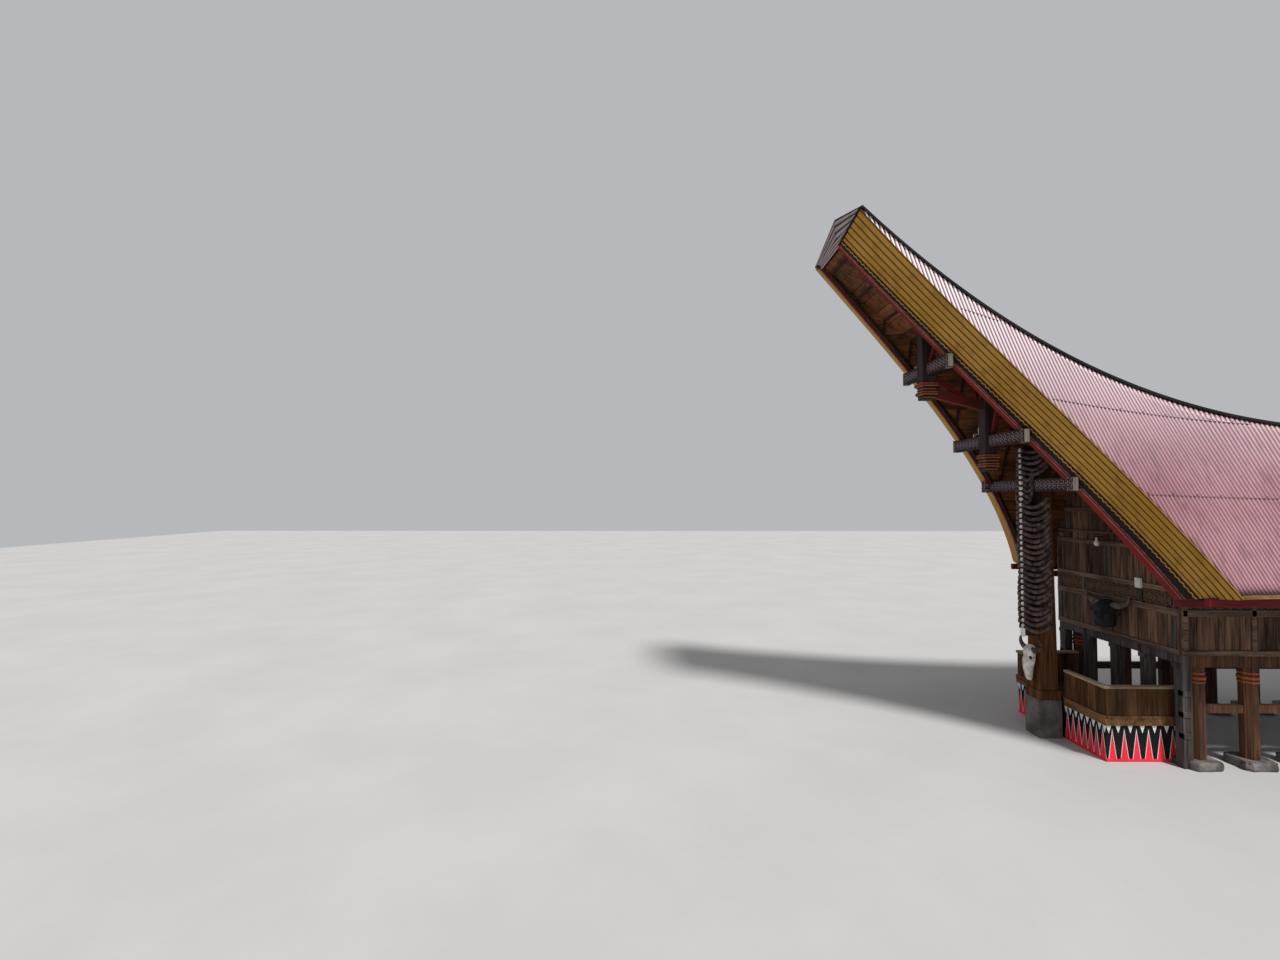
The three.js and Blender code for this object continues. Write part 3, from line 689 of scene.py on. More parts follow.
@dataclass(frozen=True)
class Carving(Finish):
    """Carved and painted timber: scrolls in squares, worn down to the wood in places."""

    name: str
    ground: Colour
    raised: Colour
    along: Run = Run.ACROSS
    size: float = 0.135
    worn: Colour = (0.12, 0.10, 0.085)
    wear: float = 0.6
    coils: float = 24.0
    base: float = 0.0
    depth: float = 0.012
    rough: float = 0.85

    def build(self) -> bpy.types.Material:
        """Builds the material."""
        graph, coords, axes = self.begin()
        along, up = axes[self.along.value], axes[2]
        sizes = {"Size": self.size, "Coils": self.coils}
        cut = EFFECTS.place(graph, "scrolls", Along=along, Up=graph.minus(up, self.base), **sizes)[0]
        colour = graph.blend(cut, self.ground, self.raised)
        turned = graph.vector(along, up, axes[1 - self.along.value])
        tone, _, relief = EFFECTS.place(graph, "grain", Vector=turned)
        bare = EFFECTS.stain(graph, coords, 5.0, low=0.40, high=0.66)
        wood = graph.blend(tone, darker(self.worn, 0.5), self.worn)
        colour = graph.blend(graph.times(bare, self.wear), colour, wood)
        return self.close(graph, colour, self.rough, graph.plus(cut, graph.times(relief, 0.2)), self.depth)


class Finishes:
    """Every finish of the house, by the thing that wears it."""

    # The slope sheets carry a painted sky highlight from 5 m up, and painted shade in their troughs.
    slope_sheets = SheetMetal(
        "pink_sheets", (0.33, 0.145, 0.165), (0.41, 0.20, 0.225), (0.055, 0.022, 0.028), trough=0.72,
        rust=0.12, bleached=(5.0, 9.6), bleach=(0.92, 0.80, 0.83), bleach_share=0.8, foot=(3.49, 3.60),
        specular=0.35,
    )
    cap_sheets = SheetMetal(
        "cap_sheets", (0.26, 0.115, 0.125), (0.34, 0.17, 0.185), (0.06, 0.028, 0.028), rust=0.4, rough=0.5,
        specular=0.3,
    )
    gable_sheets = SheetMetal(
        "ochre_sheets", (0.37, 0.185, 0.018), (0.44, 0.235, 0.04), (0.035, 0.016, 0.005), trough=0.95,
        rust=0.2, rough=0.55, specular=0.2,
    )
    fascia_sheets = SheetMetal(
        "tip_plates", (0.33, 0.25, 0.255), (0.42, 0.33, 0.33), (0.014, 0.009, 0.009), trough=1.0, rust=0.5,
        rough=0.6, specular=0.2,
    )
    # The laps' lower edges, coloured dark as painted shadow under each lap.
    lap_shadow = SheetMetal(
        "lap_edges", (0.05, 0.020, 0.026), (0.08, 0.035, 0.042), (0.03, 0.014, 0.016), rust=0.5, rough=0.6
    )
    flashing = SheetMetal(
        "black_flashing", (0.010, 0.009, 0.010), (0.020, 0.017, 0.016), (0.006, 0.005, 0.005), rust=0.12,
        rough=0.7, specular=0.12,
    )
    bargeboard = Timber(
        "red_bargeboard", (0.13, 0.05, 0.035), (0.04, 0.02, 0.016), paint=(0.21, 0.020, 0.020)
    )
    pale_line = Timber("pale_edge_line", (0.42, 0.24, 0.22), (0.24, 0.11, 0.10))
    lining = Timber(
        "ceiling_boards", (0.21, 0.075, 0.026), (0.06, 0.022, 0.011), Run.ALONG, 0.24, Run.UP, 7.0, 0.006,
        dirt_colour=(0.012, 0.007, 0.005),
    )
    batten = Timber("battens", (0.05, 0.022, 0.014), (0.016, 0.009, 0.006), Run.UP)
    eave_board = Timber(
        "eave_board", (0.24, 0.15, 0.06), (0.10, 0.06, 0.026), Run.ALONG, 3.0, Run.UP, 2.0, dirt=0.4
    )
    soffit = Timber(
        "soffit_boards", (0.085, 0.045, 0.03), (0.03, 0.016, 0.012), Run.ACROSS, 0.2, Run.ALONG, 4.0
    )
    purlin = Timber(
        "red_purlins", (0.10, 0.035, 0.024), (0.035, 0.016, 0.012), paint=(0.19, 0.016, 0.020), worn=0.4
    )
    beam = Carving(
        "carved_beams", (0.012, 0.009, 0.010), (0.25, 0.19, 0.19), worn=(0.09, 0.07, 0.065), wear=0.3,
        coils=13.0,
    )
    beam_end = Timber("pale_beam_ends", (0.50, 0.46, 0.40), (0.26, 0.23, 0.19), Run.UP, dirt=0.4)
    grey_post = Timber("grey_timber", (0.110, 0.094, 0.088), (0.014, 0.011, 0.011), Run.UP, relief=0.008)
    dark_post = Timber("dark_timber", (0.055, 0.038, 0.032), (0.014, 0.010, 0.009), Run.UP, dirt=0.45)
    horn_post = Timber("golden_timber", (0.15, 0.054, 0.017), (0.026, 0.010, 0.004), Run.UP, relief=0.007)
    cantilever = Timber(
        "red_cantilever", (0.12, 0.05, 0.03), (0.04, 0.02, 0.014), paint=(0.14, 0.020, 0.016), worn=0.5
    )
    corbel = Timber(
        "corbels", (0.36, 0.13, 0.055), (0.13, 0.04, 0.02), Run.ACROSS, paint=(0.40, 0.11, 0.045), worn=0.5
    )
    wall = Timber("wall_planks", (0.20, 0.112, 0.07), (0.020, 0.010, 0.007), Run.UP, dirt=0.6, shade=0.4)
    side_wall = replace(wall, name="side_wall_planks", light=(0.19, 0.105, 0.066))
    rail = Timber("wall_rails", (0.23, 0.15, 0.105), (0.040, 0.024, 0.017), Run.ACROSS, relief=0.006)
    side_rail = replace(rail, name="side_rails", light=(0.22, 0.145, 0.10), run=Run.ALONG)
    panel = Carving(
        "carved_panels", (0.024, 0.014, 0.011), (0.19, 0.115, 0.07), size=0.19, worn=(0.15, 0.09, 0.055)
    )
    side_panel = replace(panel, name="side_carved_panels", along=Run.ALONG)
    floor = Timber("deck_boards", (0.13, 0.085, 0.055), (0.04, 0.025, 0.018), Run.ALONG, 0.2, Run.ACROSS, 3.2)
    pillar = Timber("brown_pillars", (0.14, 0.062, 0.032), (0.028, 0.013, 0.009), Run.UP, relief=0.008)
    plank = Timber("railing_planks", (0.12, 0.052, 0.020), (0.030, 0.013, 0.006), Run.UP, shade=0.25)
    cap_rail = Timber("cap_rail", (0.40, 0.32, 0.22), (0.18, 0.13, 0.08), Run.ACROSS, dirt=0.35)
    cap_rail_side = replace(cap_rail, name="cap_rail_side", run=Run.ALONG)
    skirt = Timber("railing_skirt", (0.21, 0.11, 0.045), (0.06, 0.028, 0.013), Run.ACROSS, dirt=0.45)
    base_black = Timber(
        "black_base_boards", (0.07, 0.05, 0.04), (0.03, 0.022, 0.02), Run.UP, 0.2, Run.ACROSS,
        paint=(0.008, 0.008, 0.009), worn=0.1, dirt=0.2,
    )
    base_red = Timber(
        "red_paint", (0.20, 0.07, 0.05), (0.08, 0.03, 0.02), Run.UP, paint=(0.92, 0.034, 0.060), worn=0.12,
        dirt=0.2,
    )
    base_white = Timber(
        "white_paint", (0.5, 0.45, 0.4), (0.3, 0.27, 0.24), Run.UP, paint=(0.84, 0.82, 0.79), worn=0.12,
        dirt=0.18,
    )
    horn = Mottled("buffalo_horn", (0.125, 0.086, 0.076), (0.010, 0.006, 0.005), 9.0, 60.0, stain_share=0.3)
    bone = Mottled("old_bone", (0.80, 0.76, 0.70), (0.45, 0.40, 0.35), 8.0, 50.0, (0.10, 0.075, 0.06), 0.45)
    wall_horn = Mottled("weathered_horn", (0.20, 0.155, 0.12), (0.05, 0.036, 0.03), 6.0, 50.0)
    black_head = Mottled(
        "black_carving", (0.030, 0.027, 0.030), (0.008, 0.007, 0.008), 7.0, 50.0, stain_share=0.2
    )
    concrete = Mottled(
        "concrete", (0.165, 0.150, 0.133), (0.062, 0.056, 0.05), 2.5, 45.0, (0.04, 0.036, 0.03), 0.5
    )
    stone = Mottled("river_stone", (0.19, 0.17, 0.155), (0.07, 0.062, 0.055), 4.0, 30.0, relief=0.012)
    studio = Mottled(
        "studio_floor", (0.43, 0.42, 0.405), (0.40, 0.39, 0.38), 0.3, 8.0, (0.38, 0.37, 0.36), 0.1,
        relief=0.0005,
    )
    enamel = Mottled(
        "pale_enamel", (0.82, 0.81, 0.77), (0.66, 0.64, 0.60), 3.0, 20.0, stain_share=0.15, relief=0.0004
    )


class Plan(Group):
    """A Geometry Nodes tree that builds on a guide and gives what it makes a finish."""

    def __init__(self, name: str, **takes: object) -> None:
        """Starts the tree with its name and the default values of its inputs."""
        inputs = {"Guide": "NodeSocketGeometry", **takes, "Finish": "NodeSocketMaterial"}
        super().__init__(name, inputs, ("Made",), "GeometryNodeTree", "NodeSocketGeometry")

    def named(self, name: str, kind: str = "FLOAT") -> Socket:
        """The value of one of the guide's attributes."""
        return self.add("GeometryNodeInputNamedAttribute", {"Name": name}, data_type=kind).outputs[0]

    def end(self, made: object) -> Tree:
        """Ends the tree in Realize Instances and Set Material."""
        inputs = {"Geometry": self.add("GeometryNodeRealizeInstances", {0: made}), "Material": self["Finish"]}
        return self.give(Made=self.add("GeometryNodeSetMaterial", inputs))

    def end_on_points(self, instance: object, **inputs: object) -> Tree:
        """Ends the tree with an instance at each point of the guide."""
        inputs = {"Points": self["Guide"], "Instance": instance, **inputs}
        return self.end(self.add("GeometryNodeInstanceOnPoints", inputs))


class Trees:
    """The Geometry Nodes trees that several pieces share, each built once."""

    def __init__(self) -> None:
        """Starts with none built."""
        self.built: dict[str, Tree] = {}

    def run(self, piece: Piece, tree: str, finish: Finish, **sizes: object) -> None:
        """Runs a tree on a guide object, and keeps what it makes as the object's plain mesh.

        Args:
            piece: the object that holds the guide.
            tree: the name of the method that builds the tree.
            finish: the finish of what it makes.
            sizes: values for the tree's inputs.
        """
        if tree not in self.built:
            self.built[tree] = getattr(self, tree)()
        modifier = piece.modifiers.new(tree, "NODES")
        modifier.node_group = self.built[tree]
        values = {**sizes, "Finish": finish.material()}
        for item in self.built[tree].interface.items_tree:
            if item.in_out == "INPUT" and item.name in values:
                modifier[item.identifier] = values[item.name]
        evaluated = piece.evaluated_get(bpy.context.evaluated_depsgraph_get())
        made = bpy.data.meshes.new_from_object(evaluated)
        piece.modifiers.remove(modifier)
        guide = piece.data
        piece.data = made
        bpy.data.meshes.remove(guide)

    @staticmethod
    def corrugation() -> Tree:
        """Presses troughs into a sheet, by each point's distance across it."""
        plan = Plan("corrugation", Pitch=0.0765, Depth=0.018, Narrowness=1.0)
        turn = plan.times(plan.over(plan.named("across"), plan["Pitch"]), math.tau)
        wave = plan.maths("MULTIPLY_ADD", plan.maths("COSINE", turn), 0.5, 0.5)
        trough = plan.maths("POWER", wave, plan["Narrowness"])
        # The trough value is kept for the sheet finishes, which paint shade into the troughs with it.
        inputs = {"Geometry": plan["Guide"], "Name": "trough", "Value": trough}
        stored = plan.add("GeometryNodeStoreNamedAttribute", inputs, data_type="FLOAT", domain="POINT")
        deep = plan.times(plan.times(trough, plan["Depth"]), -1.0)
        inwards = {0: plan.add("GeometryNodeInputNormal"), 3: deep}
        moved = plan.add("ShaderNodeVectorMath", inwards, operation="SCALE")
        return plan.end(plan.add("GeometryNodeSetPosition", {"Geometry": stored, "Offset": moved}))

    @staticmethod
    def bars() -> Tree:
        """Square-edged bars along the guide's edges."""
        plan = Plan("bars", Width=0.05, Height=0.05)
        path = plan.add("GeometryNodeMeshToCurve", {0: plan["Guide"]})
        upright = plan.add("GeometryNodeSetCurveNormal", {0: path}, mode="Z_UP")
        sizes = {"Width": plan["Height"], "Height": plan["Width"]}
        section = plan.add("GeometryNodeCurvePrimitiveQuadrilateral", sizes)
        inputs = {0: upright, "Profile Curve": section, "Fill Caps": True}
        return plan.end(plan.add("GeometryNodeCurveToMesh", inputs))

    @staticmethod
    def planks() -> Tree:
        """A plank at each point of the guide, turned about Z, no two equally thick."""
        plan = Plan("planks", Thickness=0.02, Jitter=0.1, Seed=1)
        plank = plan.add("GeometryNodeMeshCube", {"Size": plan.vector(1.0, plan["Thickness"], 1.0)})
        inputs = {2: plan.minus(1.0, plan["Jitter"]), 3: 1.0, "Seed": plan["Seed"]}
        spread = plan.add("FunctionNodeRandomValue", inputs, data_type="FLOAT")
        wide, tall = plan.named("wide"), plan.named("tall")
        scale = plan.vector(wide, spread.outputs[1], tall)
        return plan.end_on_points(plank, Rotation=plan.vector(z=plan.named("turn")), Scale=scale)

    @staticmethod
    def studs() -> Tree:
        """A small flat-headed nail at each point of the guide, facing the way that the point does."""
        plan = Plan("studs", Radius=0.008, Height=0.006)
        inputs = {"Vertices": 6, "Radius": plan["Radius"], "Depth": plan["Height"]}
        head = plan.add("GeometryNodeMeshCylinder", inputs)
        facing = plan.named("facing", "FLOAT_VECTOR")
        turned = plan.add("FunctionNodeAlignRotationToVector", {"Vector": facing}, axis="Z")
        return plan.end_on_points(head, Rotation=turned)

    @staticmethod
    def pennants() -> Tree:
        """A painted triangle at each point of the guide; tilted by half a turn, it hangs."""
        plan = Plan("pennants", Width=0.2, Height=0.4, Depth=0.003, Tilt=0.0)
        outline = plan.add("GeometryNodeMeshCircle", {"Vertices": 3, "Radius": 1.0}, fill_type="NGON")
        height, width = plan.over(plan["Height"], 1.5), plan.over(plan["Width"], math.sqrt(3))
        scale = plan.vector(height, width, 1.0)
        sized = plan.add("GeometryNodeTransform", {"Geometry": outline, "Scale": scale})
        stood = plan.add("GeometryNodeTransform", {"Geometry": sized, "Rotation": (0.0, -math.pi / 2, 0.0)})
        inputs = {"Mesh": stood, "Offset Scale": plan["Depth"]}
        raised = plan.add("GeometryNodeExtrudeMesh", inputs, mode="FACES")
        return plan.end_on_points(raised, Rotation=plan.vector(plan["Tilt"], z=plan.named("turn")))

    @staticmethod
    def horn_row() -> Tree:
        """A horn at each point of the guide: it tapers outwards, back and up."""
        plan = Plan(
            "horn row", Hand=1.0, Start=0.02, Reach=0.41, Sweep=0.31, Dip=0.10, Lift=0.15, Thickness=0.042,
            Points=14, Sides=7, Seed=3,
        )
        line = plan.add("GeometryNodeCurvePrimitiveLine")
        path = plan.add("GeometryNodeResampleCurve", {"Curve": line, "Count": plan["Points"]})
        share = plan.add("GeometryNodeSplineParameter").outputs["Factor"]
        half_turn = plan.times(share, math.pi)
        out = plan.times(plan.maths("SINE", plan.times(half_turn, 0.5)), plan["Reach"])
        side = plan.times(plan.plus(out, plan["Start"]), plan["Hand"])
        back = plan.times(plan.maths("POWER", share, 1.5), plan["Sweep"])
        rise = plan.times(plan.times(share, share), plan["Lift"])
        height = plan.minus(rise, plan.times(plan.maths("SINE", half_turn), plan["Dip"]))
        place = plan.vector(side, back, height)
        bent = plan.add("GeometryNodeSetPosition", {"Geometry": path, "Position": place})
        ring = plan.times(plan.maths("SINE", plan.times(share, 40.0)), 0.05)
        taper = plan.plus(plan.maths("MULTIPLY_ADD", share, -0.9, 1.04), ring)
        thick = plan.add("GeometryNodeSetCurveRadius", {"Curve": bent, "Radius": taper})
        sizes = {"Resolution": plan["Sides"], "Radius": plan["Thickness"]}
        section = plan.add("GeometryNodeCurvePrimitiveCircle", sizes)
        inputs = {"Curve": thick, "Profile Curve": section, "Fill Caps": True}
        body = plan.add("GeometryNodeCurveToMesh", inputs)
        body = plan.add("GeometryNodeSetShadeSmooth", {"Geometry": body})
        leans = {0: (-0.05, -0.05, -0.05), 1: (0.05, 0.05, 0.05), "Seed": plan["Seed"]}
        lean = plan.add("FunctionNodeRandomValue", leans, data_type="FLOAT_VECTOR")
        room = plan.named("room")
        scale = plan.vector(plan.maths("MULTIPLY_ADD", room, 0.45, 0.55), room, 1.0)
        return plan.end_on_points(body, Rotation=lean, Scale=scale)


TREES = Trees()


def smooth(piece: Piece) -> None:
    """Shades a piece smoothly."""
    piece.data.polygons.foreach_set("use_smooth", [True] * len(piece.data.polygons))


def rounded(piece: Piece) -> None:
    """Rounds a piece off by one subdivision."""
    soft = piece.modifiers.new("rounding", "SUBSURF")
    soft.levels = 1
    soft.render_levels = 1


def wear(node: str, *finishes: Finish) -> None:
    """Gives a carried-over CAD node its finish."""
    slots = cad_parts[node].material_slots
    for slot, finish in zip(slots, finishes * len(slots)):
        slot.link = "OBJECT"
        slot.material = finish.material()


class Builder:
    """Collects the points and faces of one piece, then makes the piece."""

    def __init__(self, name: str, slot: str, *finishes: Finish, stands_for: tuple[str, ...] = ()) -> None:
        """Starts a piece with its name, the name of a material slot, which nothing uses, and its finishes."""
        self.name = name
        self.slot = slot
        self.finishes = finishes
        self.stands_for = stands_for
        self.points: list[Vector] = []
        self.edges: list[tuple[int, int]] = []
        self.faces: list[list[int]] = []
        self.skins: list[int] = []
        self.skin = 0

    def face(self, corners: list[int]) -> None:
        """Adds a face with the finish in hand."""
        self.faces.append(corners)
        self.skins.append(self.skin)

    def rings(self, rings: list[list[Vector]]) -> None:
        """Joins closed rings of points one after another, and closes both ends."""
        first, size = len(self.points), len(rings[0])
        last = first + (len(rings) - 1) * size
        self.points += [Vector(point) for ring in rings for point in ring]
        for row in range(first, last, size):
            for i in range(size):
                here, there = row + i, row + (i + 1) % size
                self.face([here, there, there + size, here + size])
        self.face(list(range(first, first + size))[::-1])
        self.face(list(range(last, last + size)))

    def box(self, corner: tuple, opposite: tuple) -> None:
        """Adds a block between two opposite corners, whichever way round they are."""
        low, high = zip(*(sorted(pair) for pair in zip(corner, opposite)))
        ring = [(low[0], low[1]), (high[0], low[1]), (high[0], high[1]), (low[0], high[1])]
        self.rings([[Vector((*place, z)) for place in ring] for z in (low[2], high[2])])

    def bar(self, start: Vector, stop: Vector, width: float, height: float, up: tuple = (0, 0, 1)) -> None:
        """Adds a straight bar.

        Args:
            start: the middle of its first end.
            stop: the middle of its last end.
            width: its size square to up.
            height: its size along up.
            up: the direction that its height lies nearest to.
        """
        start, stop = Vector(start), Vector(stop)
        along = (stop - start).normalized()
        side = along.cross(Vector(up)).normalized() * width / 2
        top = side.cross(along).normalized() * height / 2
        self.rings([[p - side - top, p + side - top, p + side + top, p - side + top] for p in (start, stop)])

    def sheet(self, rows: list[list[Vector]], outward: tuple) -> None:
        """Adds an open sheet from rows of points, its faces towards outward."""
        first, size = len(self.points), len(rows[0])
        self.points += [Vector(point) for row in rows for point in row]
        middle = len(rows) // 2
        a, b, c = rows[middle - 1][size // 2 - 1], rows[middle - 1][size // 2], rows[middle][size // 2]
        flip = (Vector(b) - Vector(a)).cross(Vector(c) - Vector(b)).dot(Vector(outward)) < 0
        for row in range(len(rows) - 1):
            for i in range(size - 1):
                here = first + row * size + i
                corners = [here, here + 1, here + size + 1, here + size]
                self.face(corners[::-1] if flip else corners)

    def guide(self, points: list[Vector]) -> None:
        """Adds loose points for a tree to build on."""
        self.points += [Vector(point) for point in points]

    def path(self, points: list[Vector]) -> None:
        """Adds a chain of edges for a tree to follow."""
        first = len(self.points)
        self.guide(points)
        self.edges += [(first + i, first + i + 1) for i in range(len(points) - 1)]

    def made(self) -> Piece:
        """Makes the object, with its materials, in the scene."""
        mesh = bpy.data.meshes.new(self.name)
        mesh.from_pydata(self.points, self.edges, self.faces)
        for finish in self.finishes:
            mesh.materials.append(finish.material())
        mesh.polygons.foreach_set("material_index", self.skins)
        piece = bpy.data.objects.new(self.name, mesh)
        bpy.context.scene.collection.objects.link(piece)
        return piece

    def grown(self, tree: str, marks: dict[str, list], **sizes: object) -> Piece:
        """Makes the object by running a tree on the guide, in the first finish.

        Args:
            tree: the tree's name.
            marks: a value for each point of the guide, by the attribute's name.
            sizes: values for the tree's inputs.

        Returns:
            The object, which has yet to be settled.
        """
        piece = self.made()
        for name, values in marks.items():
            if isinstance(values[0], tuple):
                layer = piece.data.attributes.new(name, "FLOAT_VECTOR", "POINT")
                layer.data.foreach_set("vector", [part for value in values for part in value])
            else:
                piece.data.attributes.new(name, "FLOAT", "POINT").data.foreach_set("value", values)
        TREES.run(piece, tree, self.finishes[0], **sizes)
        return piece

    def solid(self, bevel: float = 0.0, rounder: bool = False) -> Piece:
        """Makes and settles a piece of closed bodies, its edges softened or its form rounded."""
        piece = self.made()
        body = bmesh.new()
        body.from_mesh(piece.data)
        bmesh.ops.recalc_face_normals(body, faces=body.faces)
        body.to_mesh(piece.data)
        body.free()
        if rounder:
            smooth(piece)
            rounded(piece)
        if bevel:
            soft = piece.modifiers.new("soft_edges", "BEVEL")
            soft.width = bevel
            soft.segments = 1
            soft.limit_method = "ANGLE"
        return self.settle(piece)

    def shell(self, piece: Piece, thickness: float, offset: float = -1.0) -> Piece:
        """Gives an open sheet its thickness, and settles it."""
        layer = piece.modifiers.new("sheet_thickness", "SOLIDIFY")
        layer.thickness = thickness
        layer.offset = offset
        return self.settle(piece)

    def settle(self, piece: Piece) -> Piece:
        """Gives a finished piece its body, and hides the CAD nodes that it stands for."""
        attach(piece, BODY)
        if self.stands_for:
            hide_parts(*self.stands_for)
        log.info("%s: %d faces", piece.name, len(piece.data.polygons))
        return piece


class Planks(Builder):
    """Collects upright planks, then makes them as one piece."""

    def __init__(self, name: str, slot: str, finish: Finish) -> None:
        """Starts a piece of planks."""
        super().__init__(name, slot, finish)
        self.marks: dict[str, list[float]] = {"wide": [], "tall": [], "turn": []}

    def plank(self, middle: tuple, wide: float, tall: float, turn: float = 0.0) -> None:
        """Adds a plank by its middle, its size and its turn about Z."""
        self.guide([middle])
        for values, value in zip(self.marks.values(), (wide, tall, turn)):
            values.append(value)

    def nailed(self, layer: float, jitter: float, seed: int) -> None:
        """Makes the piece, its planks up to a thickness and no two of one shade."""
        marks = {**self.marks, "shade": shades(len(self.points))}
        self.settle(self.grown("planks", marks, Thickness=layer, Jitter=jitter, Seed=seed))


@dataclass
class Roof:
    """The sheets of the two slopes and the cap, the ridge flashing and the eaves."""

    pitch: float = 0.0765
    depth: float = 0.018
    lean: float = 0.22
    fan: float = 3.2
    reach: float = 8.35
    samples: int = 6
    rows: int = 20
    ceiling: float = 11.0
    gable_margin: float = 0.4
    sheet: float = 0.004
    least: float = 0.002
    gable_tooth: float = 0.08
    tooth_shape: Pair = (0.55, 0.45)
    lap: float = 0.022
    laps_at: Pairs = ((5.04, 0.004), (6.43, 0.0123), (7.6, 0.018))
    lap_wave: float = 0.006
    lap_sheet: float = 0.002
    lap_depths: Pair = (0.004, 0.001)
    lap_margins: Pair = (0.1, 0.02)
    nail_step: int = 12
    nail_lift: float = 0.05
    nail_proud: float = 0.002
    nail: Pair = (0.009, 0.008)
    flashing_sheet: float = 0.003
    flashing_inset: float = 0.001
    flashing_lifts: Pair = (0.008, 0.006)
    flashing_slope: float = 0.09
    flashing_under: float = 0.004
    flashing_lap: float = 0.11
    flashing_out: float = 0.034
    flashing_drop: float = 0.002
    flashing_tooth: float = 0.020
    flashing_proud: float = 0.006
    cap_sheet: float = 0.016
    cap_out: float = 0.03
    cap_middle: float = 0.5
    cap_crest: float = 0.02
    roll_half: float = 0.14
    roll_inset: float = 0.07
    roll_rows: int = 96
    roll_heights: tuple[float, float, float] = (-0.012, 0.006, 0.008)
    eave_strip: float = 0.07
    eave_layer: float = 0.028
    eave_gap: float = 0.012
    eave_inset: float = 0.03
    eave_rows: int = 24

    def build(self) -> None:
        """Builds every piece of the roof's outside."""
        for side in Side:
            self.slope(side)
            self.laps(side)
            self.flashing(side)
            self.eave(side)
        self.cap()
        self.roll()

    def line(self, foot: float, z: float) -> float:
        """Where a trough that starts at foot on the eave's level is, at a height."""
        return foot + self.lean * clamp(foot / self.fan, 1.0) * (z - ROOF.eave_height)

    def ends(self, foot: float) -> Pair:
        """Lowest and highest point of a trough: the eave or the gable edge, and the shoulder."""
        low = ROOF.eave_height
        if abs(foot) > ROOF.eave_length:
            top = ROOF.gable(ROOF.end)[1] + self.gable_margin
            _, low = crossing(low, top, lambda z: abs(self.line(foot, z)) > ROOF.gable_line_at(z))
        high, _ = crossing(low, self.ceiling, lambda z: z < ROOF.shoulder_z(self.line(foot, z)))
        return low, max(low + self.least, high)

    def overhang(self, foot: float) -> float:
        """How far a trough runs on past the gable edge: least at its bottom, most at the crest beside it."""
        middle, swing = self.tooth_shape
        return self.gable_tooth * (middle - swing * math.cos(math.tau * foot / self.pitch))

    def on_slope(self, y: float, z: float, side: Side, inwards: float = 0.0) -> Vector:
        """A point of the slope's surface, or below it."""
        y = clamp(y, ROOF.half_length)
        return Vector((side.x(ROOF.slope_x(y, z) - inwards), y, z))

    def slope(self, side: Side) -> None:
        """The corrugated sheets of one slope."""
        name, node = f"slope_sheets_{side.word}", f"roof_slope_{side.word}"
        builder = Builder(name, "roof_sheets", Finishes.slope_sheets, stands_for=(node,))
        columns, across = [], []
        for foot in steps(-self.reach, self.reach, round(2 * self.reach / self.pitch) * self.samples):
            low, high = self.ends(foot)
            if abs(self.line(foot, high)) > ROOF.half_length:
                continue
            heights = steps(max(ROOF.eave_height, low - self.overhang(foot)), high, self.rows)
            columns.append([self.on_slope(self.line(foot, z), z, side) for z in heights])
            across += [foot] * len(heights)
        builder.sheet(columns, (side.value, 0.0, 0.6))
        piece = builder.grown("corrugation", {"across": across}, Pitch=self.pitch, Depth=self.depth)
        smooth(piece)
        builder.shell(piece, self.sheet)

    def laps(self, side: Side) -> None:
        """The lower edges of the upper rows of sheets, over the row below and coloured dark as painted
        shadow, and their nails.
        """
        builder = Builder(f"sheet_laps_{side.word}", "roof_sheets", Finishes.lap_shadow)
        half = ROOF.half_length
        nails = []
        for middle, rise in self.laps_at:
            line = [(y, middle + rise * y**2) for y in steps(-half, half, int(2 * half / self.pitch) * 2)]
            line = [place for place in line if self.lap_fits(*place)]
            for rear in (False, True):
                part = [(y, z) for y, z in line if (y >= 0) == rear]
                if len(part) < 3:
                    continue
                builder.sheet([
                    [
                        self.on_slope(y, z + lift + self.lap_wave * (i % 2), side, inwards)
                        for i, (y, z) in enumerate(part)
                    ]
                    for lift, inwards in zip((0.0, self.lap), self.lap_depths)
                ], (side.value, 0.0, 0.6))
                for y, z in part[::self.nail_step]:
                    nails.append(self.on_slope(y, z + self.nail_lift, side, -self.nail_proud))
        builder.shell(builder.made(), self.lap_sheet)
        heads = Builder(f"sheet_nails_{side.word}", "roof_sheets", Finishes.flashing)
        heads.guide(nails)
        radius, height = self.nail
        marks = {"facing": [(side.value, 0.0, 0.45)] * len(nails)}
        heads.settle(heads.grown("studs", marks, Radius=radius, Height=height))

    def lap_fits(self, y: float, z: float) -> bool:
        """Whether a lap's point lies between the shoulder and the gable edge."""
        above, beside = self.lap_margins
        return z + above < ROOF.shoulder_z(y) and abs(y) < ROOF.gable_line_at(z) - beside

    def flashing(self, side: Side) -> None:
        """The black flashing along a shoulder, its lower edge cut in teeth over the sheets."""
        builder = Builder(f"ridge_flashing_{side.word}", "roof_sheets", Finishes.flashing)
        half = ROOF.half_length - self.flashing_inset
        near, far = self.flashing_lifts
        inner, outer = ROOF.shoulder - self.flashing_lap, ROOF.shoulder + self.flashing_out
        columns = []
        for i, y in enumerate(steps(-half, half, int(2 * half / (self.pitch / 2)))):
            top = ROOF.shoulder_z(y)
            cap = top + ROOF.cap_layer
            peak = cap + near + ROOF.cap_rise(y) * self.flashing_slope
            profile = ((inner, peak), (outer, cap + far), (outer, top - self.flashing_under))
            foot = top - self.flashing_drop - self.flashing_tooth * (i % 2)
            column = [Vector((side.x(x), y, z)) for x, z in profile]
            columns.append([*column, self.on_slope(y, foot, side, -self.flashing_proud)])
        builder.sheet(list(zip(*columns)), (side.value, 0.0, 0.4))
        builder.shell(builder.made(), self.flashing_sheet, 0.0)

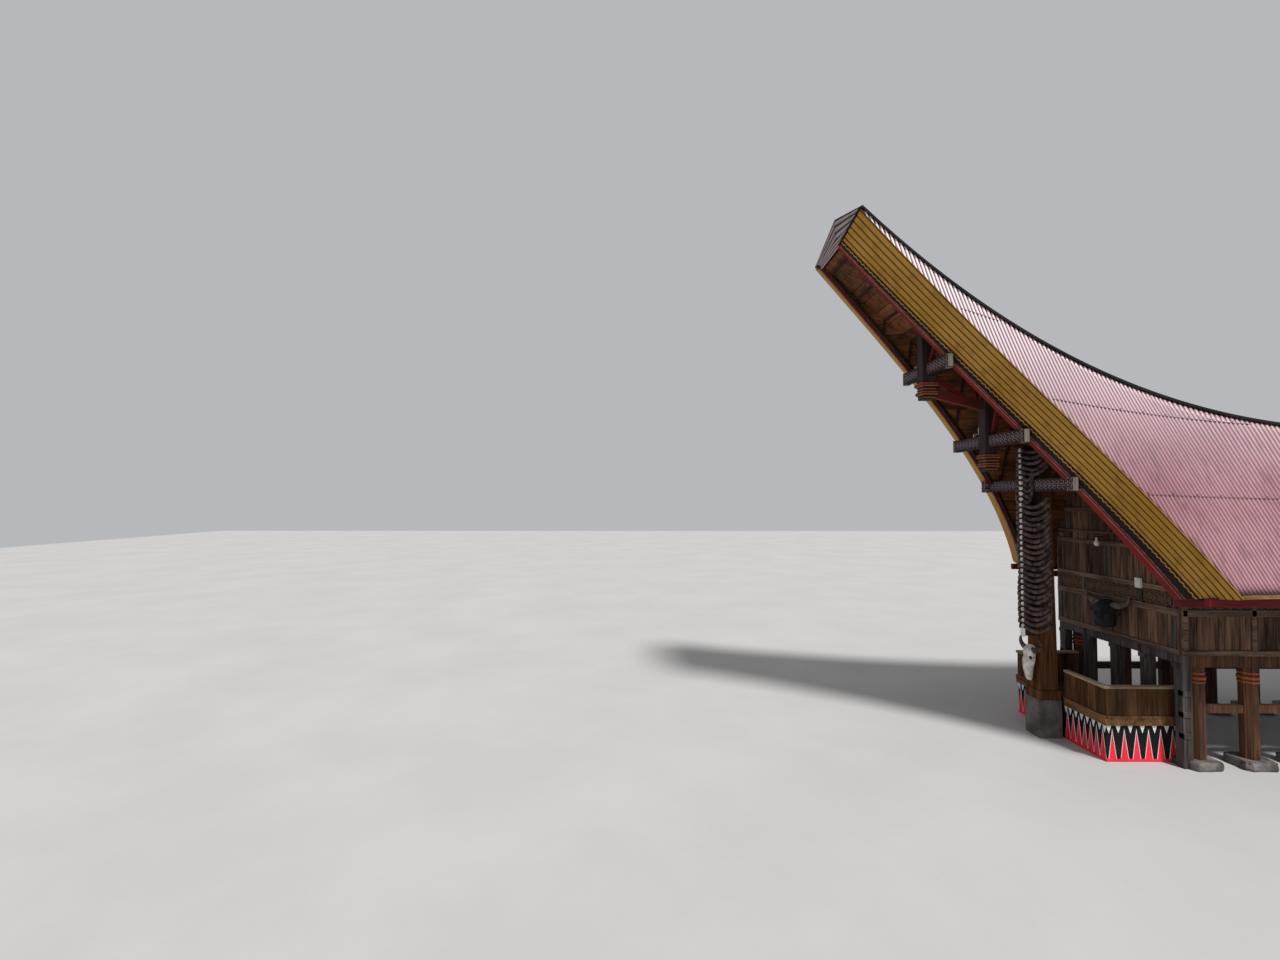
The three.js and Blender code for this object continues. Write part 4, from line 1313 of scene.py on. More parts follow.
    def cap(self) -> None:
        """The corrugated cap between the shoulders."""
        builder = Builder("cap_sheets", "roof_sheets", Finishes.cap_sheets, stands_for=("roof_cap",))
        half, edge = ROOF.half_length, ROOF.shoulder + self.cap_out
        middle, crest = ROOF.shoulder * self.cap_middle, self.cap_crest
        stations = (-edge, -middle, -crest, crest, middle, edge)
        columns, across = [], []
        for y in steps(-half, half, round(2 * half / self.pitch) * 4):
            base, rise = ROOF.shoulder_z(y) + ROOF.cap_layer, ROOF.cap_rise(y)
            heights = [base + rise * max(0.0, 1 - abs(x) / ROOF.shoulder) for x in stations]
            columns.append([Vector((x, y, z)) for x, z in zip(stations, heights)])
            across += [y] * len(stations)
        builder.sheet(columns, (0.0, 0.0, 1.0))
        piece = builder.grown("corrugation", {"across": across}, Pitch=self.pitch, Depth=self.depth)
        builder.shell(piece, self.cap_sheet)

    def roll(self) -> None:
        """The thin folded strip on the ridge."""
        builder = Builder("ridge_roll", "roof_sheets", Finishes.flashing)
        half, edge = ROOF.half_length - self.roll_inset, self.roll_half
        low, high, crest = self.roll_heights
        section = ((-edge, low), (-edge, high), (0.0, crest), (edge, high), (edge, low))
        rings = []
        for y in steps(-half, half, self.roll_rows):
            peak = ROOF.shoulder_z(y) + ROOF.cap_layer + ROOF.cap_rise(y)
            slope = ROOF.cap_rise(y) / ROOF.shoulder
            rings.append([Vector((x, y, peak - slope * abs(x) + lift)) for x, lift in section])
        builder.rings(rings)
        builder.solid()

    def eave(self, side: Side) -> None:
        """The board under the sheets' lower edge, and the soffit behind it."""
        builder = Builder(f"eave_board_{side.word}", "eave_boards", Finishes.eave_board)
        end = ROOF.eave_length - self.eave_inset
        top = ROOF.eave_height - self.eave_gap
        low = top - self.eave_strip
        rings = []
        for y in steps(-end, end, self.eave_rows):
            outer = ROOF.eave_half(y) - self.eave_gap
            inner = outer - self.eave_layer
            section = ((inner, top), (outer, top), (outer, low), (inner, low))
            rings.append([placed((x, y, z), side) for x, z in section])
        builder.rings(rings)
        builder.solid()
        wear(f"eave_soffit_{side.word}", Finishes.soffit)


@dataclass
class Verges:
    """The yellow bands, the black strips, the red bargeboards and the plates that close the tips."""

    ribs: int = 6
    trough_depth: float = 0.022
    thinner: float = 0.02
    narrowness: float = 5.0
    first_rib: float = 0.12
    last_rib: float = 0.38
    overlap_rib: float = 0.5
    rows: int = 168
    samples: int = 8
    sheet: float = 0.02
    overlap: float = 0.035
    tooth: float = 0.022
    overlap_proud: float = 0.02
    strip_share: float = 0.50
    strip_wander: float = 0.05
    strip_proud: float = 0.012
    strip_sunk: float = 0.002
    line_shares: tuple[float, ...] = (0.54, 0.70)
    line_size: float = 0.013
    fascia_ribs: float = 5.5
    fascia_depth: float = 0.022
    fascia_layer: float = 0.03
    fascia_narrowness: float = 1.3
    fascia_rows: int = 48
    fascia_columns: int = 30
    trim: Pair = (0.04, 0.055)
    trim_sunk: float = 0.03
    trim_drops: Pair = (0.022, 0.02)
    trim_inset: float = 0.015
    trim_foot: float = 0.02

    def build(self) -> None:
        """Builds the verges of all four gable edges and the two tips."""
        for end in End:
            for side in Side:
                self.band(side, end)
                self.strip(side, end)
                self.lines(side, end)
                wear(f"bargeboard_{end.word}_{side.word}", Finishes.bargeboard)
            self.fascia(end)
            self.tip_trim(end)

    def shares(self, count: int) -> list[float]:
        """Shares of the gable's rise, from the verge's tail to its tip."""
        return steps(ROOF.start - ROOF.verge_tail, ROOF.end, count)

    def band(self, side: Side, end: End) -> None:
        """A yellow band of sheets, with narrow troughs along it."""
        name, node = f"gable_sheets_{end.word}_{side.word}", f"gable_band_{end.word}_{side.word}"
        builder = Builder(name, "gable_sheets", Finishes.gable_sheets, stands_for=(node,))
        rows, across = [], []
        for i, q in enumerate(self.shares(self.rows)):
            inwards, forwards = ROOF.band_edge(q)
            row = []
            for share in steps(0.0, 1.0, self.ribs * self.samples):
                lift = ROOF.band_layer * (1 - self.thinner * share)
                row.append(ROOF.verge(q, inwards * share, forwards * share + lift))
                across.append(share * (self.ribs - self.last_rib) - self.first_rib)
            over = (self.overlap + self.tooth * (i % 2)) / (ROOF.verge_width - inwards)
            row.append(ROOF.board(q, over, self.overlap_proud))
            across.append(self.ribs - self.overlap_rib)
            rows.append([placed(point, side, end) for point in row])
        builder.sheet(rows, (0.3 * side.value, -end.value, -0.8))
        sizes = {"Pitch": 1.0, "Depth": self.trough_depth, "Narrowness": self.narrowness}
        piece = builder.grown("corrugation", {"across": across}, **sizes)
        smooth(piece)
        builder.shell(piece, self.sheet)

    def strip(self, side: Side, end: End) -> None:
        """The black strip with ragged edges between the band and the board."""
        builder = Builder(f"black_strip_{end.word}_{side.word}", "bargeboards", Finishes.flashing)
        ragged = random.Random(11 + side.value + 2 * end.value)
        rings = []
        up, down = self.strip_proud, -self.strip_sunk
        for q in self.shares(self.rows):
            share = self.strip_share + self.strip_wander * (ragged.random() - 0.5)
            section = ((0.0, up), (share, up), (share, down), (0.0, down))
            rings.append([placed(ROOF.board(q, *place), side, end) for place in section])
        builder.rings(rings)
        builder.solid()

    def lines(self, side: Side, end: End) -> None:
        """The thin pale mouldings along the red board."""
        builder = Builder(f"board_lines_{end.word}_{side.word}", "bargeboards", Finishes.pale_line)
        for share in self.line_shares:
            builder.path([placed(ROOF.board(q, share), side, end) for q in self.shares(self.rows // 2)])
        builder.settle(builder.grown("bars", {}, Width=self.line_size, Height=self.line_size))

    def fascia(self, end: End) -> None:
        """The corrugated plate that closes a tip, leaning forward below the shoulders."""
        name, node = f"tip_sheets_{end.word}", f"cap_fascia_{end.word}"
        builder = Builder(name, "fascia_sheets", Finishes.fascia_sheets, stands_for=(node,))
        tip, inner = ROOF.verge(ROOF.end, 0.0, 0.0), ROOF.inner_edge(ROOF.end)
        shoulder = tip.z + ROOF.cap_layer
        peak = shoulder + ROOF.cap_rise(ROOF.half_length)
        rows, across = [], []
        for down in steps(0.0, 1.0, self.fascia_rows):
            row = []
            for share in steps(-1.0, 1.0, self.fascia_columns):
                x = share * (tip.x + (inner.x - tip.x) * down)
                top = peak + (shoulder - peak) * min(1.0, abs(x) / tip.x)
                z = top + (inner.z - top) * down
                lean = max(0.0, (tip.z - z) / (tip.z - inner.z))
                y = tip.y - ROOF.band_layer + (inner.y - tip.y) * lean
                row.append(placed((x, y, z), end=end))
                across.append(down * self.fascia_ribs)
            rows.append(row)
        builder.sheet(rows, (0.0, -end.value, -0.3))
        sizes = {"Pitch": 1.0, "Depth": self.fascia_depth, "Narrowness": self.fascia_narrowness}
        builder.shell(builder.grown("corrugation", {"across": across}, **sizes), self.fascia_layer)

    def tip_trim(self, end: End) -> None:
        """The dark trim round a tip's plate."""
        builder = Builder(f"tip_trim_{end.word}", "fascia_sheets", Finishes.flashing)
        tip, inner = ROOF.verge(ROOF.end, 0.0, 0.0), ROOF.inner_edge(ROOF.end)
        shoulder = tip.z + ROOF.cap_layer
        peak = shoulder + ROOF.cap_rise(ROOF.half_length)
        back = self.trim_sunk - ROOF.band_layer
        peak_drop, tip_drop = self.trim_drops
        corners = (
            (0.0, tip.y + back, peak - peak_drop),
            (tip.x - self.trim_inset, tip.y + back, shoulder - tip_drop),
            (inner.x + self.trim_foot, inner.y + back, inner.z + self.trim_foot),
        )
        for side in Side:
            line = [placed(corner, side, end) for corner in corners]
            for a, b in zip(line, line[1:]):
                builder.bar(a, b, *self.trim, (0, -end.value, 0))
        builder.solid(bevel=0.004)


@dataclass
class Ceilings:
    """The boards under the roof, with their battens, and the purlins under the eaves."""

    batten_step: float = 0.58
    batten: float = 0.045
    batten_bevel: float = 0.003
    first_batten: float = 4.35
    batten_foot: Pair = (0.03, 0.02)
    batten_head: Pair = (0.02, 0.03)
    foot_batten: Pair = (0.06, 0.05)
    cap_batten_drop: float = 0.022
    tip_margin: float = 0.2
    purlins: Pairs = ((2.16, 3.19), (2.74, 3.30))
    purlin_half: tuple[float, float, float] = (0.05, 4.42, 0.07)

    def build(self) -> None:
        """Dresses the linings and adds the battens and purlins."""
        for side in Side:
            wear(f"roof_lining_{side.word}", Finishes.lining)
            self.battens(side)
            self.eave_purlins(side)
        wear("cap_lining", Finishes.lining)
        self.cap_battens()

    def stations(self, end: End) -> list[float]:
        """Where the battens of an overhang lie along the house."""
        first, last = self.first_batten, -ROOF.inner_edge(ROOF.end).y - self.tip_margin
        return [end.y(distance) for distance in steps(first, last, round((last - first) / self.batten_step))]

    def battens(self, side: Side) -> None:
        """Battens across one lining, from its head to its foot, and one along its foot."""
        builder = Builder(f"lining_battens_{side.word}", "lining_boards", Finishes.batten)
        foot_in, foot_up = self.batten_foot
        head_in, head_down = self.batten_head
        edge_in, edge_up = self.foot_batten
        for end in End:
            edge = []
            for y in self.stations(end):
                foot_x, foot_z = ROOF.lining_foot(y)
                low = Vector((side.x(foot_x - foot_in), y, foot_z + foot_up))
                high = Vector((side.x(ROOF.cap_half - head_in), y, ROOF.lining_z(y) - head_down))
                builder.bar(low, high, self.batten, self.batten, (side.value, 0, -0.4))
                edge.append(Vector((side.x(foot_x - edge_in), y, foot_z + edge_up)))
            for a, b in zip(edge, edge[1:]):
                builder.bar(a, b, self.batten, self.batten * 1.5)
        builder.solid(bevel=self.batten_bevel)

    def cap_battens(self) -> None:
        """Battens across the boards under the cap."""
        builder = Builder("cap_battens", "lining_boards", Finishes.batten)
        half = ROOF.cap_half
        for end in End:
            for y in self.stations(end):
                z = ROOF.lining_z(y) - self.cap_batten_drop
                builder.bar((-half, y, z), (half, y, z), self.batten, self.batten)
        builder.solid(bevel=self.batten_bevel)

    def eave_purlins(self, side: Side) -> None:
        """The painted purlins under the eave, their ends showing at both corners."""
        builder = Builder(f"eave_purlins_{side.word}", "eave_boards", Finishes.purlin)
        wide, long, tall = self.purlin_half
        for x, z in self.purlins:
            builder.box((side.x(x) - wide, -long, z - tall), (side.x(x) + wide, long, z + tall))
        builder.solid(bevel=0.006)


@dataclass(frozen=True)
class CrossBeam:
    """A carved beam through the bargeboards of both ends."""

    word: str
    distance: float
    bottom: float
    half_length: float
    end_forward: float = 0.0
    height: float = 0.27
    thickness: float = 0.12

    @property
    def top(self) -> float:
        """Height of its upper edge."""
        return self.bottom + self.height

    def finish(self) -> Carving:
        """Its carving, in squares that stand on its lower edge."""
        return replace(Finishes.beam, name=f"carved_beam_{self.word}", base=self.bottom, size=self.height / 2)


@dataclass(frozen=True)
class HangingPost:
    """A post that hangs from the cap's boards, with corbels below it."""

    word: str
    distance: float
    bottom: float
    width: float


@dataclass
class OverhangFrame:
    """The beams, hanging posts and braces of both overhangs, and the posts that carry them."""

    beams: tuple[CrossBeam, ...] = (
        CrossBeam("upper", 7.88, 7.77, 1.0),
        CrossBeam("middle", 6.56, 6.20, 1.3),
        CrossBeam("lower", 5.677, 5.24, 1.51, 0.10),
    )
    posts: tuple[HangingPost, ...] = (
        HangingPost("upper", 7.88, 7.62, 0.28),
        HangingPost("lower", 6.55, 6.05, 0.26),
    )
    end_plate: float = 0.012
    end_block: float = 0.16
    end_proud: float = 0.05
    end_margin: float = 0.012
    end_more: float = 0.004
    moulding: Pair = (0.016, 0.03)
    tiers: tuple[float, ...] = (1.25, 0.95, 1.15, 0.8)
    tier_height: float = 0.092
    tier_gap: float = 0.008
    lip: float = 0.012
    lip_heights: Pair = (0.034, 0.056)
    brace: float = 0.07
    moulding_inset: float = 0.04
    moulding_proud: float = 0.004
    moulding_edge: float = 0.02
    tier_proud: float = 0.005
    shortest_brace: float = 0.25
    brace_back: float = 0.02
    brace_foot: Pair = (0.02, 0.05)
    brace_head: Pair = (0.03, 0.04)
    strut_lifts: Pair = (0.12, 0.02)
    strut: Pair = (0.08, 0.10)
    strut_run: float = 0.95
    cantilever: Pairs = ((3.93, 6.40), (7.735, 7.40))
    lamp_x: float = -0.62
    lamp_behind: float = 0.17
    lamp: Pairs = (
        (0.36, 0.014), (0.38, 0.028), (0.46, 0.032), (0.51, 0.024), (0.54, 0.016),
    )
    lamp_sides: int = 10
    lamp_arms: Triples = ((-0.012, 0.35, 0.368), (0.11, 0.26, 0.36))
    arm_half: float = 0.012
    arm_end: float = 0.14

    def build(self) -> None:
        """Dresses the CAD's timbers and adds what is fixed to them."""
        for end in End:
            for beam in self.beams:
                wear(f"cross_beam_{end.word}_{beam.word}", beam.finish())
            for post in self.posts:
                wear(f"hanging_post_{end.word}_{post.word}", Finishes.dark_post)
            wear(f"cantilever_beam_{end.word}", Finishes.cantilever)
            self.beam_ends(end)
            self.beam_mouldings(end)
            self.corbels(end)
            self.braces(end)
            self.lamps(end)
        wear("horn_post", Finishes.horn_post)
        wear("rear_overhang_post", Finishes.grey_post)
        wear("horn_post_block", Finishes.concrete)
        wear("rear_overhang_post_block", Finishes.concrete)

    def beam_ends(self, end: End) -> None:
        """The carved ends of the cross beams, proud of the bargeboards, each with a pale plate."""
        carvings = [beam.finish() for beam in self.beams]
        builder = Builder(f"beam_ends_{end.word}", "frame_timber", *carvings, Finishes.beam_end)
        for number, beam in enumerate(self.beams):
            y, outer = end.y(beam.distance + beam.end_forward), beam.half_length + self.end_proud
            low, high = beam.bottom - self.end_more, beam.top + self.end_more
            blocks = (
                (number, outer - self.end_block, outer, -self.end_more),
                (len(carvings), outer, outer + self.end_plate, self.end_margin),
            )
            for side in Side:
                for skin, a, b, margin in blocks:
                    half = beam.thickness / 2 - margin
                    builder.skin = skin
                    builder.box((side.x(a), y - half, low + margin), (side.x(b), y + half, high - margin))
        builder.solid(bevel=0.003)

    def beam_mouldings(self, end: End) -> None:
        """Raised mouldings along the upper and lower edges of the cross beams' faces."""
        builder = Builder(f"beam_mouldings_{end.word}", "frame_timber", Finishes.dark_post)
        for beam in self.beams:
            reach = beam.half_length - self.moulding_inset
            for face in (-1, 1):
                y = end.y(beam.distance) + face * (beam.thickness / 2 + self.moulding_proud)
                for z in (beam.bottom + self.moulding_edge, beam.top - self.moulding_edge):
                    builder.bar((-reach, y, z), (reach, y, z), *self.moulding)
        builder.solid(bevel=0.003)

    def corbels(self, end: End) -> None:
        """The painted tiers under the hanging posts, orange and dark by turns, each with a lip."""
        builder = Builder(f"corbels_{end.word}", "frame_timber", Finishes.corbel, Finishes.dark_post)
        for post in self.posts:
            y = end.y(post.distance)
            for row, share in enumerate(self.tiers):
                top = post.bottom - row * self.tier_height
                low = top - self.tier_height
                half = post.width * share / 2 + self.tier_proud
                lip = half + self.lip
                lip_low, lip_high = self.lip_heights
                builder.skin = row % 2
                builder.box((-half, y - half, low + self.tier_gap), (half, y + half, top - self.tier_gap))
                builder.skin = 1 - row % 2
                builder.box((-lip, y - lip, low + lip_low), (lip, y + lip, low + lip_high))
        builder.solid(bevel=0.005)

    def braces(self, end: End) -> None:
        """Diagonal braces from the hanging posts to the linings, and struts to the long beam."""
        builder = Builder(f"braces_{end.word}", "frame_timber", Finishes.purlin)
        foot_out, foot_up = self.brace_foot
        head_in, head_down = self.brace_head
        low_lift, high_lift = self.strut_lifts
        for beam, post in zip(self.beams, self.posts):
            y = end.y(post.distance - self.brace_back)
            for side in Side:
                foot = Vector((side.x(post.width / 2 + foot_out), y, beam.top + foot_up))
                head = Vector((side.x(ROOF.cap_half - head_in), y, ROOF.lining_z(y) - head_down))
                if head.z - foot.z > self.shortest_brace:
                    builder.bar(foot, head, self.brace, self.brace)
            inner = end.y(post.distance - self.strut_run)
            bottom = (0.0, y + end.value * post.width / 2, post.bottom + low_lift)
            builder.bar(bottom, (0.0, inner, self.cantilever_height(inner) + high_lift), *self.strut)
        builder.solid(bevel=0.005)

    def cantilever_height(self, y: float) -> float:
        """Height of the long beam's middle at a distance along the house."""
        (start, low), (stop, high) = self.cantilever
        return low + (high - low) * (abs(y) - start) / (stop - start)

    def lamps(self, end: End) -> None:
        """A small white lamp over each of the two upper cross beams, on its arm."""
        builder = Builder(f"lamps_{end.word}", "frame_timber", Finishes.enamel)
        for beam in self.beams[:2]:
            x, y, z = self.lamp_x, end.y(beam.distance - self.lamp_behind), beam.bottom
            half, stop = self.arm_half, end.y(self.arm_end)
            builder.rings([level_circle((x, y, z + up), radius, self.lamp_sides) for up, radius in self.lamp])
            for near, low, high in self.lamp_arms:
                builder.box((x - half, y + end.y(near), z + low), (x + half, y + stop, z + high))
        builder.solid()


@dataclass(frozen=True)
class Bump:
    """A smooth hump or hollow round a level."""

    level: float
    width: float
    depth: float

    def at(self, z: float) -> float:
        """Its depth at a height."""
        return self.depth * math.exp(-(((z - self.level) / self.width) ** 2))


@dataclass(frozen=True)
class Arc:
    """A single horn, by how far it goes out and up, its radius at the root and its half turns."""

    reach: float
    lift: float
    radius: float
    turn: float
    rows: int = 18
    sides: int = 10
    drift: float = 0.02
    taper: Pair = (1.06, 0.98)
    ripple: Pair = (0.05, 60.0)
    flatness: float = 0.85

    def rings(self, side: Side, base: Vector) -> list[list[Vector]]:
        """Its rings, from the root to the tip, on one side."""
        found = []
        reach = side.x(self.reach)
        whole, lost = self.taper
        swing, beat = self.ripple
        for share in steps(0.0, 1.0, self.rows):
            angle = share * math.pi * self.turn
            centre = Vector((reach * math.sin(angle), self.drift * share, self.lift * (1 - math.cos(angle))))
            along = Vector((reach * math.cos(angle), 0.0, self.lift * math.sin(angle))).normalized()
            size = self.radius * (whole - lost * share) * (1 + swing * math.sin(share * beat))
            across = along.cross(Vector((0, 1, 0))) * size
            found.append(circle(base + centre, (0, size * self.flatness, 0), across, self.sides))
        return found


@dataclass
class HornTrophies:
    """The stack of horns on the front post, the skull below it and the head on the wall."""

    pairs: int = 33
    lowest: float = 2.33
    highest: float = 6.15
    front: float = -5.88
    post_y: float = -5.46
    post_widths: Pair = (0.40, 0.28)
    post_heights: Pair = (0.80, 6.90)
    beam_band: Pair = (5.04, 5.63)
    beam_room: float = 0.2
    board_half: float = 0.045
    board_sunk: float = 0.03
    board_more: float = 0.09
    board_gap: Pair = (5.239, 5.511)
    crown: Pairs = ((0.0, 0.72), (0.018, 1.0), (0.05, 0.96))
    crown_sizes: Pairs = ((0.046, 0.008), (0.040, 0.006))
    crown_lean: float = 0.006
    horn_root: float = 0.045
    wall_y: float = -3.93
    contact: float = 0.001
    plate_half: float = 0.075
    plate_ends: Pair = (2.10, 2.28)
    plate_rim: float = 0.009
    plate_sunk: float = 0.006
    plate_layer: float = 0.010
    rim_depths: Pair = (-0.004, 0.002)
    plate_block: tuple[float, float, float] = (0.04, 0.02, 0.041)
    skull_rows: tuple[tuple[float, float, float, float], ...] = (
        (1.925, 0.080, 0.06, 0.0), (1.89, 0.160, 0.12, 0.0), (1.81, 0.190, 0.17, 0.0),
        (1.74, 0.186, 0.195, 0.0), (1.66, 0.204, 0.20, 0.005), (1.59, 0.196, 0.195, 0.01),
        (1.51, 0.150, 0.195, 0.015), (1.43, 0.122, 0.19, 0.02), (1.34, 0.114, 0.17, 0.03),
        (1.26, 0.110, 0.15, 0.04), (1.20, 0.098, 0.125, 0.05), (1.16, 0.065, 0.07, 0.06),
    )
    head_rows: Triples = (
        (2.90, 0.08, 0.05), (2.87, 0.19, 0.13), (2.82, 0.26, 0.20), (2.75, 0.29, 0.26), (2.67, 0.275, 0.30),
        (2.59, 0.24, 0.33), (2.51, 0.215, 0.35), (2.43, 0.20, 0.36), (2.36, 0.18, 0.355), (2.31, 0.12, 0.32),
    )
    skull_sides: int = 20
    skull_horn_root: tuple[float, float, float] = (0.08, 0.075, 1.82)
    skull_eye_place: Pair = (0.118, 1.67)
    head_horn_root: tuple[float, float, float] = (0.17, 0.13, 2.80)
    head_eye_place: tuple[float, float, float] = (0.165, 0.245, 2.69)
    ear_root: tuple[float, float, float] = (0.24, 0.14, 2.68)
    ear_run: tuple[float, float, float] = (0.24, -0.04, -0.05)
    ear_flatness: float = 0.35
    skull_horn: Arc = Arc(0.26, 0.16, 0.070, 0.86)
    head_horn: Arc = Arc(0.44, 0.21, 0.085, 0.62)
    eye_hollow: Bump = Bump(1.66, 0.05, 0.12)
    nose_hollow: Bump = Bump(1.25, 0.07, 0.04)
    brow: Bump = Bump(2.76, 0.05, 0.02)
    cheek_ridge: float = 0.12
    head_squareness: float = 0.8
    skull_eye: Pairs = ((-0.10, 0.046), (-0.152, 0.044), (-0.158, 0.026))
    head_eye: Pairs = ((0.02, 0.030), (-0.012, 0.028), (-0.024, 0.014))
    ear: Pairs = ((0.0, 0.03), (0.35, 0.068), (0.7, 0.052), (1.0, 0.01))

    def build(self) -> None:
        """Builds the stack, the plate, the skull and the head."""
        self.board()
        self.crowns()
        self.plate()
        for side in Side:
            self.horns(side)
        self.skull()
        self.head()

    def post_front(self, z: float) -> float:
        """Y of the tapering post's front face."""
        (low, high), (wide, narrow) = self.post_heights, self.post_widths
        return self.post_y - (wide + (narrow - wide) * (z - low) / (high - low)) / 2

    def levels(self) -> list[float]:
        """The heights of the horn pairs."""
        return steps(self.lowest, self.highest, self.pairs - 1)

    def board(self) -> None:
        """The board behind the stack, in two lengths that leave out the cross beam."""
        builder = Builder("horn_stack_board", "horns", Finishes.dark_post, stands_for=("horn_stack",))
        half, front = self.board_half, self.front + self.board_sunk
        gap_low, gap_high = self.board_gap
        for ends in ((self.lowest - self.board_more, gap_low), (gap_high, self.highest + self.board_more)):
            rings = []
            for z in ends:
                back = self.post_front(z) - self.contact
                corners = ((-half, front), (half, front), (half, back), (-half, back))
                rings.append([Vector((*corner, z)) for corner in corners])
            builder.rings(rings)
        builder.solid(bevel=0.004)

    def crowns(self) -> None:
        """A crown plate of bone for each pair of horns, no two alike."""
        builder = Builder("crown_plates", "horns", Finishes.bone)
        shape = random.Random(5)
        for z in self.levels():
            half, tall = (least + more * shape.random() for least, more in self.crown_sizes)
            lean = self.crown_lean * (shape.random() - 0.5)
            builder.rings([
                circle((lean, self.front + depth, z), (half * share, 0, 0), (0, 0, tall * share), 8, 0.5)
                for depth, share in self.crown
            ])
        builder.solid()

    def plate(self) -> None:
        """The small bare plate below the stack, with a raised rim, on a block of its own."""
        builder = Builder("post_plate", "frame_timber", Finishes.enamel, Finishes.dark_post)
        half, rim = self.plate_half, self.plate_rim
        low, high = self.plate_ends
        face = self.front + self.plate_sunk
        back = face + self.plate_layer
        near, far = (face + depth for depth in self.rim_depths)
        builder.box((-half, face, low), (half, back, high))
        for z in (low, high - rim):
            builder.box((-half, near, z), (half, far, z + rim))
        for x in (-half, half - rim):
            builder.box((x, near, low + rim), (x + rim, far, high - rim))
        builder.skin = 1
        half, foot, head = self.plate_block
        builder.box((-half, back, low + foot), (half, self.post_front(low) - self.contact, high - head))
        builder.solid(bevel=0.001)

    def horns(self, side: Side) -> None:
        """The horns of one side, drawn in where the cross beam passes."""
        builder = Builder(f"horns_{side.word}", "horns", Finishes.horn)
        levels = self.levels()
        builder.guide([(0.0, self.front + self.horn_root, z) for z in levels])
        low, high = self.beam_band
        rooms = [self.beam_room if low < z < high else 1.0 for z in levels]
        piece = builder.grown("horn_row", {"room": rooms}, Hand=float(side.value), Seed=4 + side.value)
        smooth(piece)
        builder.settle(piece)

    @staticmethod
    def eye(middle: tuple, shape: Pairs) -> list:
        """The rings of a round eye or eye socket that faces forward."""
        x, y, z = middle
        return [circle((x, y + depth, z), (size, 0, 0), (0, 0, size), 10) for depth, size in shape]

    def skull(self) -> None:
        """The long bleached skull, with eye sockets, cheek ridges and its two horns."""
        builder = Builder("long_skull", "skull", Finishes.bone, Finishes.horn, stands_for=("buffalo_skull",))
        rings = []
        for z, half, deep, lean in self.skull_rows:
            back = self.post_front(z) - self.contact
            middle = back - lean - deep / 2
            ring = []
            for x, y, _ in circle((0, 0, 0), (1, 0, 0), (0, 1, 0), self.skull_sides):
                socket = self.eye_hollow.at(z) * max(0.0, -y) * abs(x)
                nose = self.nose_hollow.at(z) * max(0.0, -y)
                ridge = 1.0 - self.cheek_ridge * abs(x * x - y * y)
                depth = min(back, middle + deep / 2 * y + socket + nose)
                ring.append(Vector((half * x * ridge, depth, z)))
            rings.append(ring)
        builder.rings(rings)
        builder.skin = 1
        for side in Side:
            x, proud, z = self.skull_horn_root
            base = Vector((side.x(x), self.post_front(z) - proud, z))
            builder.rings(self.skull_horn.rings(side, base))
            x, z = self.skull_eye_place
            builder.rings(self.eye((side.x(x), self.post_front(z), z), self.skull_eye))
        builder.solid(rounder=True)

    def on_head(self, side: Side, place: tuple) -> tuple[float, float, float]:
        """A place on the head, by how far out it is, how far off the wall, and its height."""
        out, proud, z = place
        return side.x(out), self.wall_y - self.contact - proud, z

    def head(self) -> None:
        """The black carved head with wide horns, ears and eyes, on the front wall."""
        finishes = (Finishes.black_head, Finishes.wall_horn)
        builder = Builder("carved_head", "carved_head", *finishes, stands_for=("buffalo_head",))
        back = self.wall_y - self.contact
        rings = []
        for z, half, deep in self.head_rows:
            ring = []
            for x, y, _ in circle((0, 0, 0), (1, 0, 0), (0, 1, 0), self.skull_sides):
                brow = self.brow.at(z) * abs(x) * max(0.0, -y)
                depth = min(back, back - deep / 2 + deep / 2 * y - brow)
                ring.append(Vector((half * math.copysign(abs(x) ** self.head_squareness, x), depth, z)))
            rings.append(ring)
        builder.rings(rings)
        for side in Side:
            builder.skin = 1
            base = Vector(self.on_head(side, self.head_horn_root))
            builder.rings(self.head_horn.rings(side, base))
            builder.skin = 0
            out, forward, down = self.ear_run
            root = Vector(self.on_head(side, self.ear_root))
            tip = root + Vector((side.x(out), forward, down))
            places, flat = [(root.lerp(tip, share), size) for share, size in self.ear], self.ear_flatness
            builder.rings([circle(place, (0, flat * size, 0), (0, 0, size), 8) for place, size in places])
            builder.rings(self.eye(self.on_head(side, self.head_eye_place), self.head_eye))
        builder.solid(rounder=True)


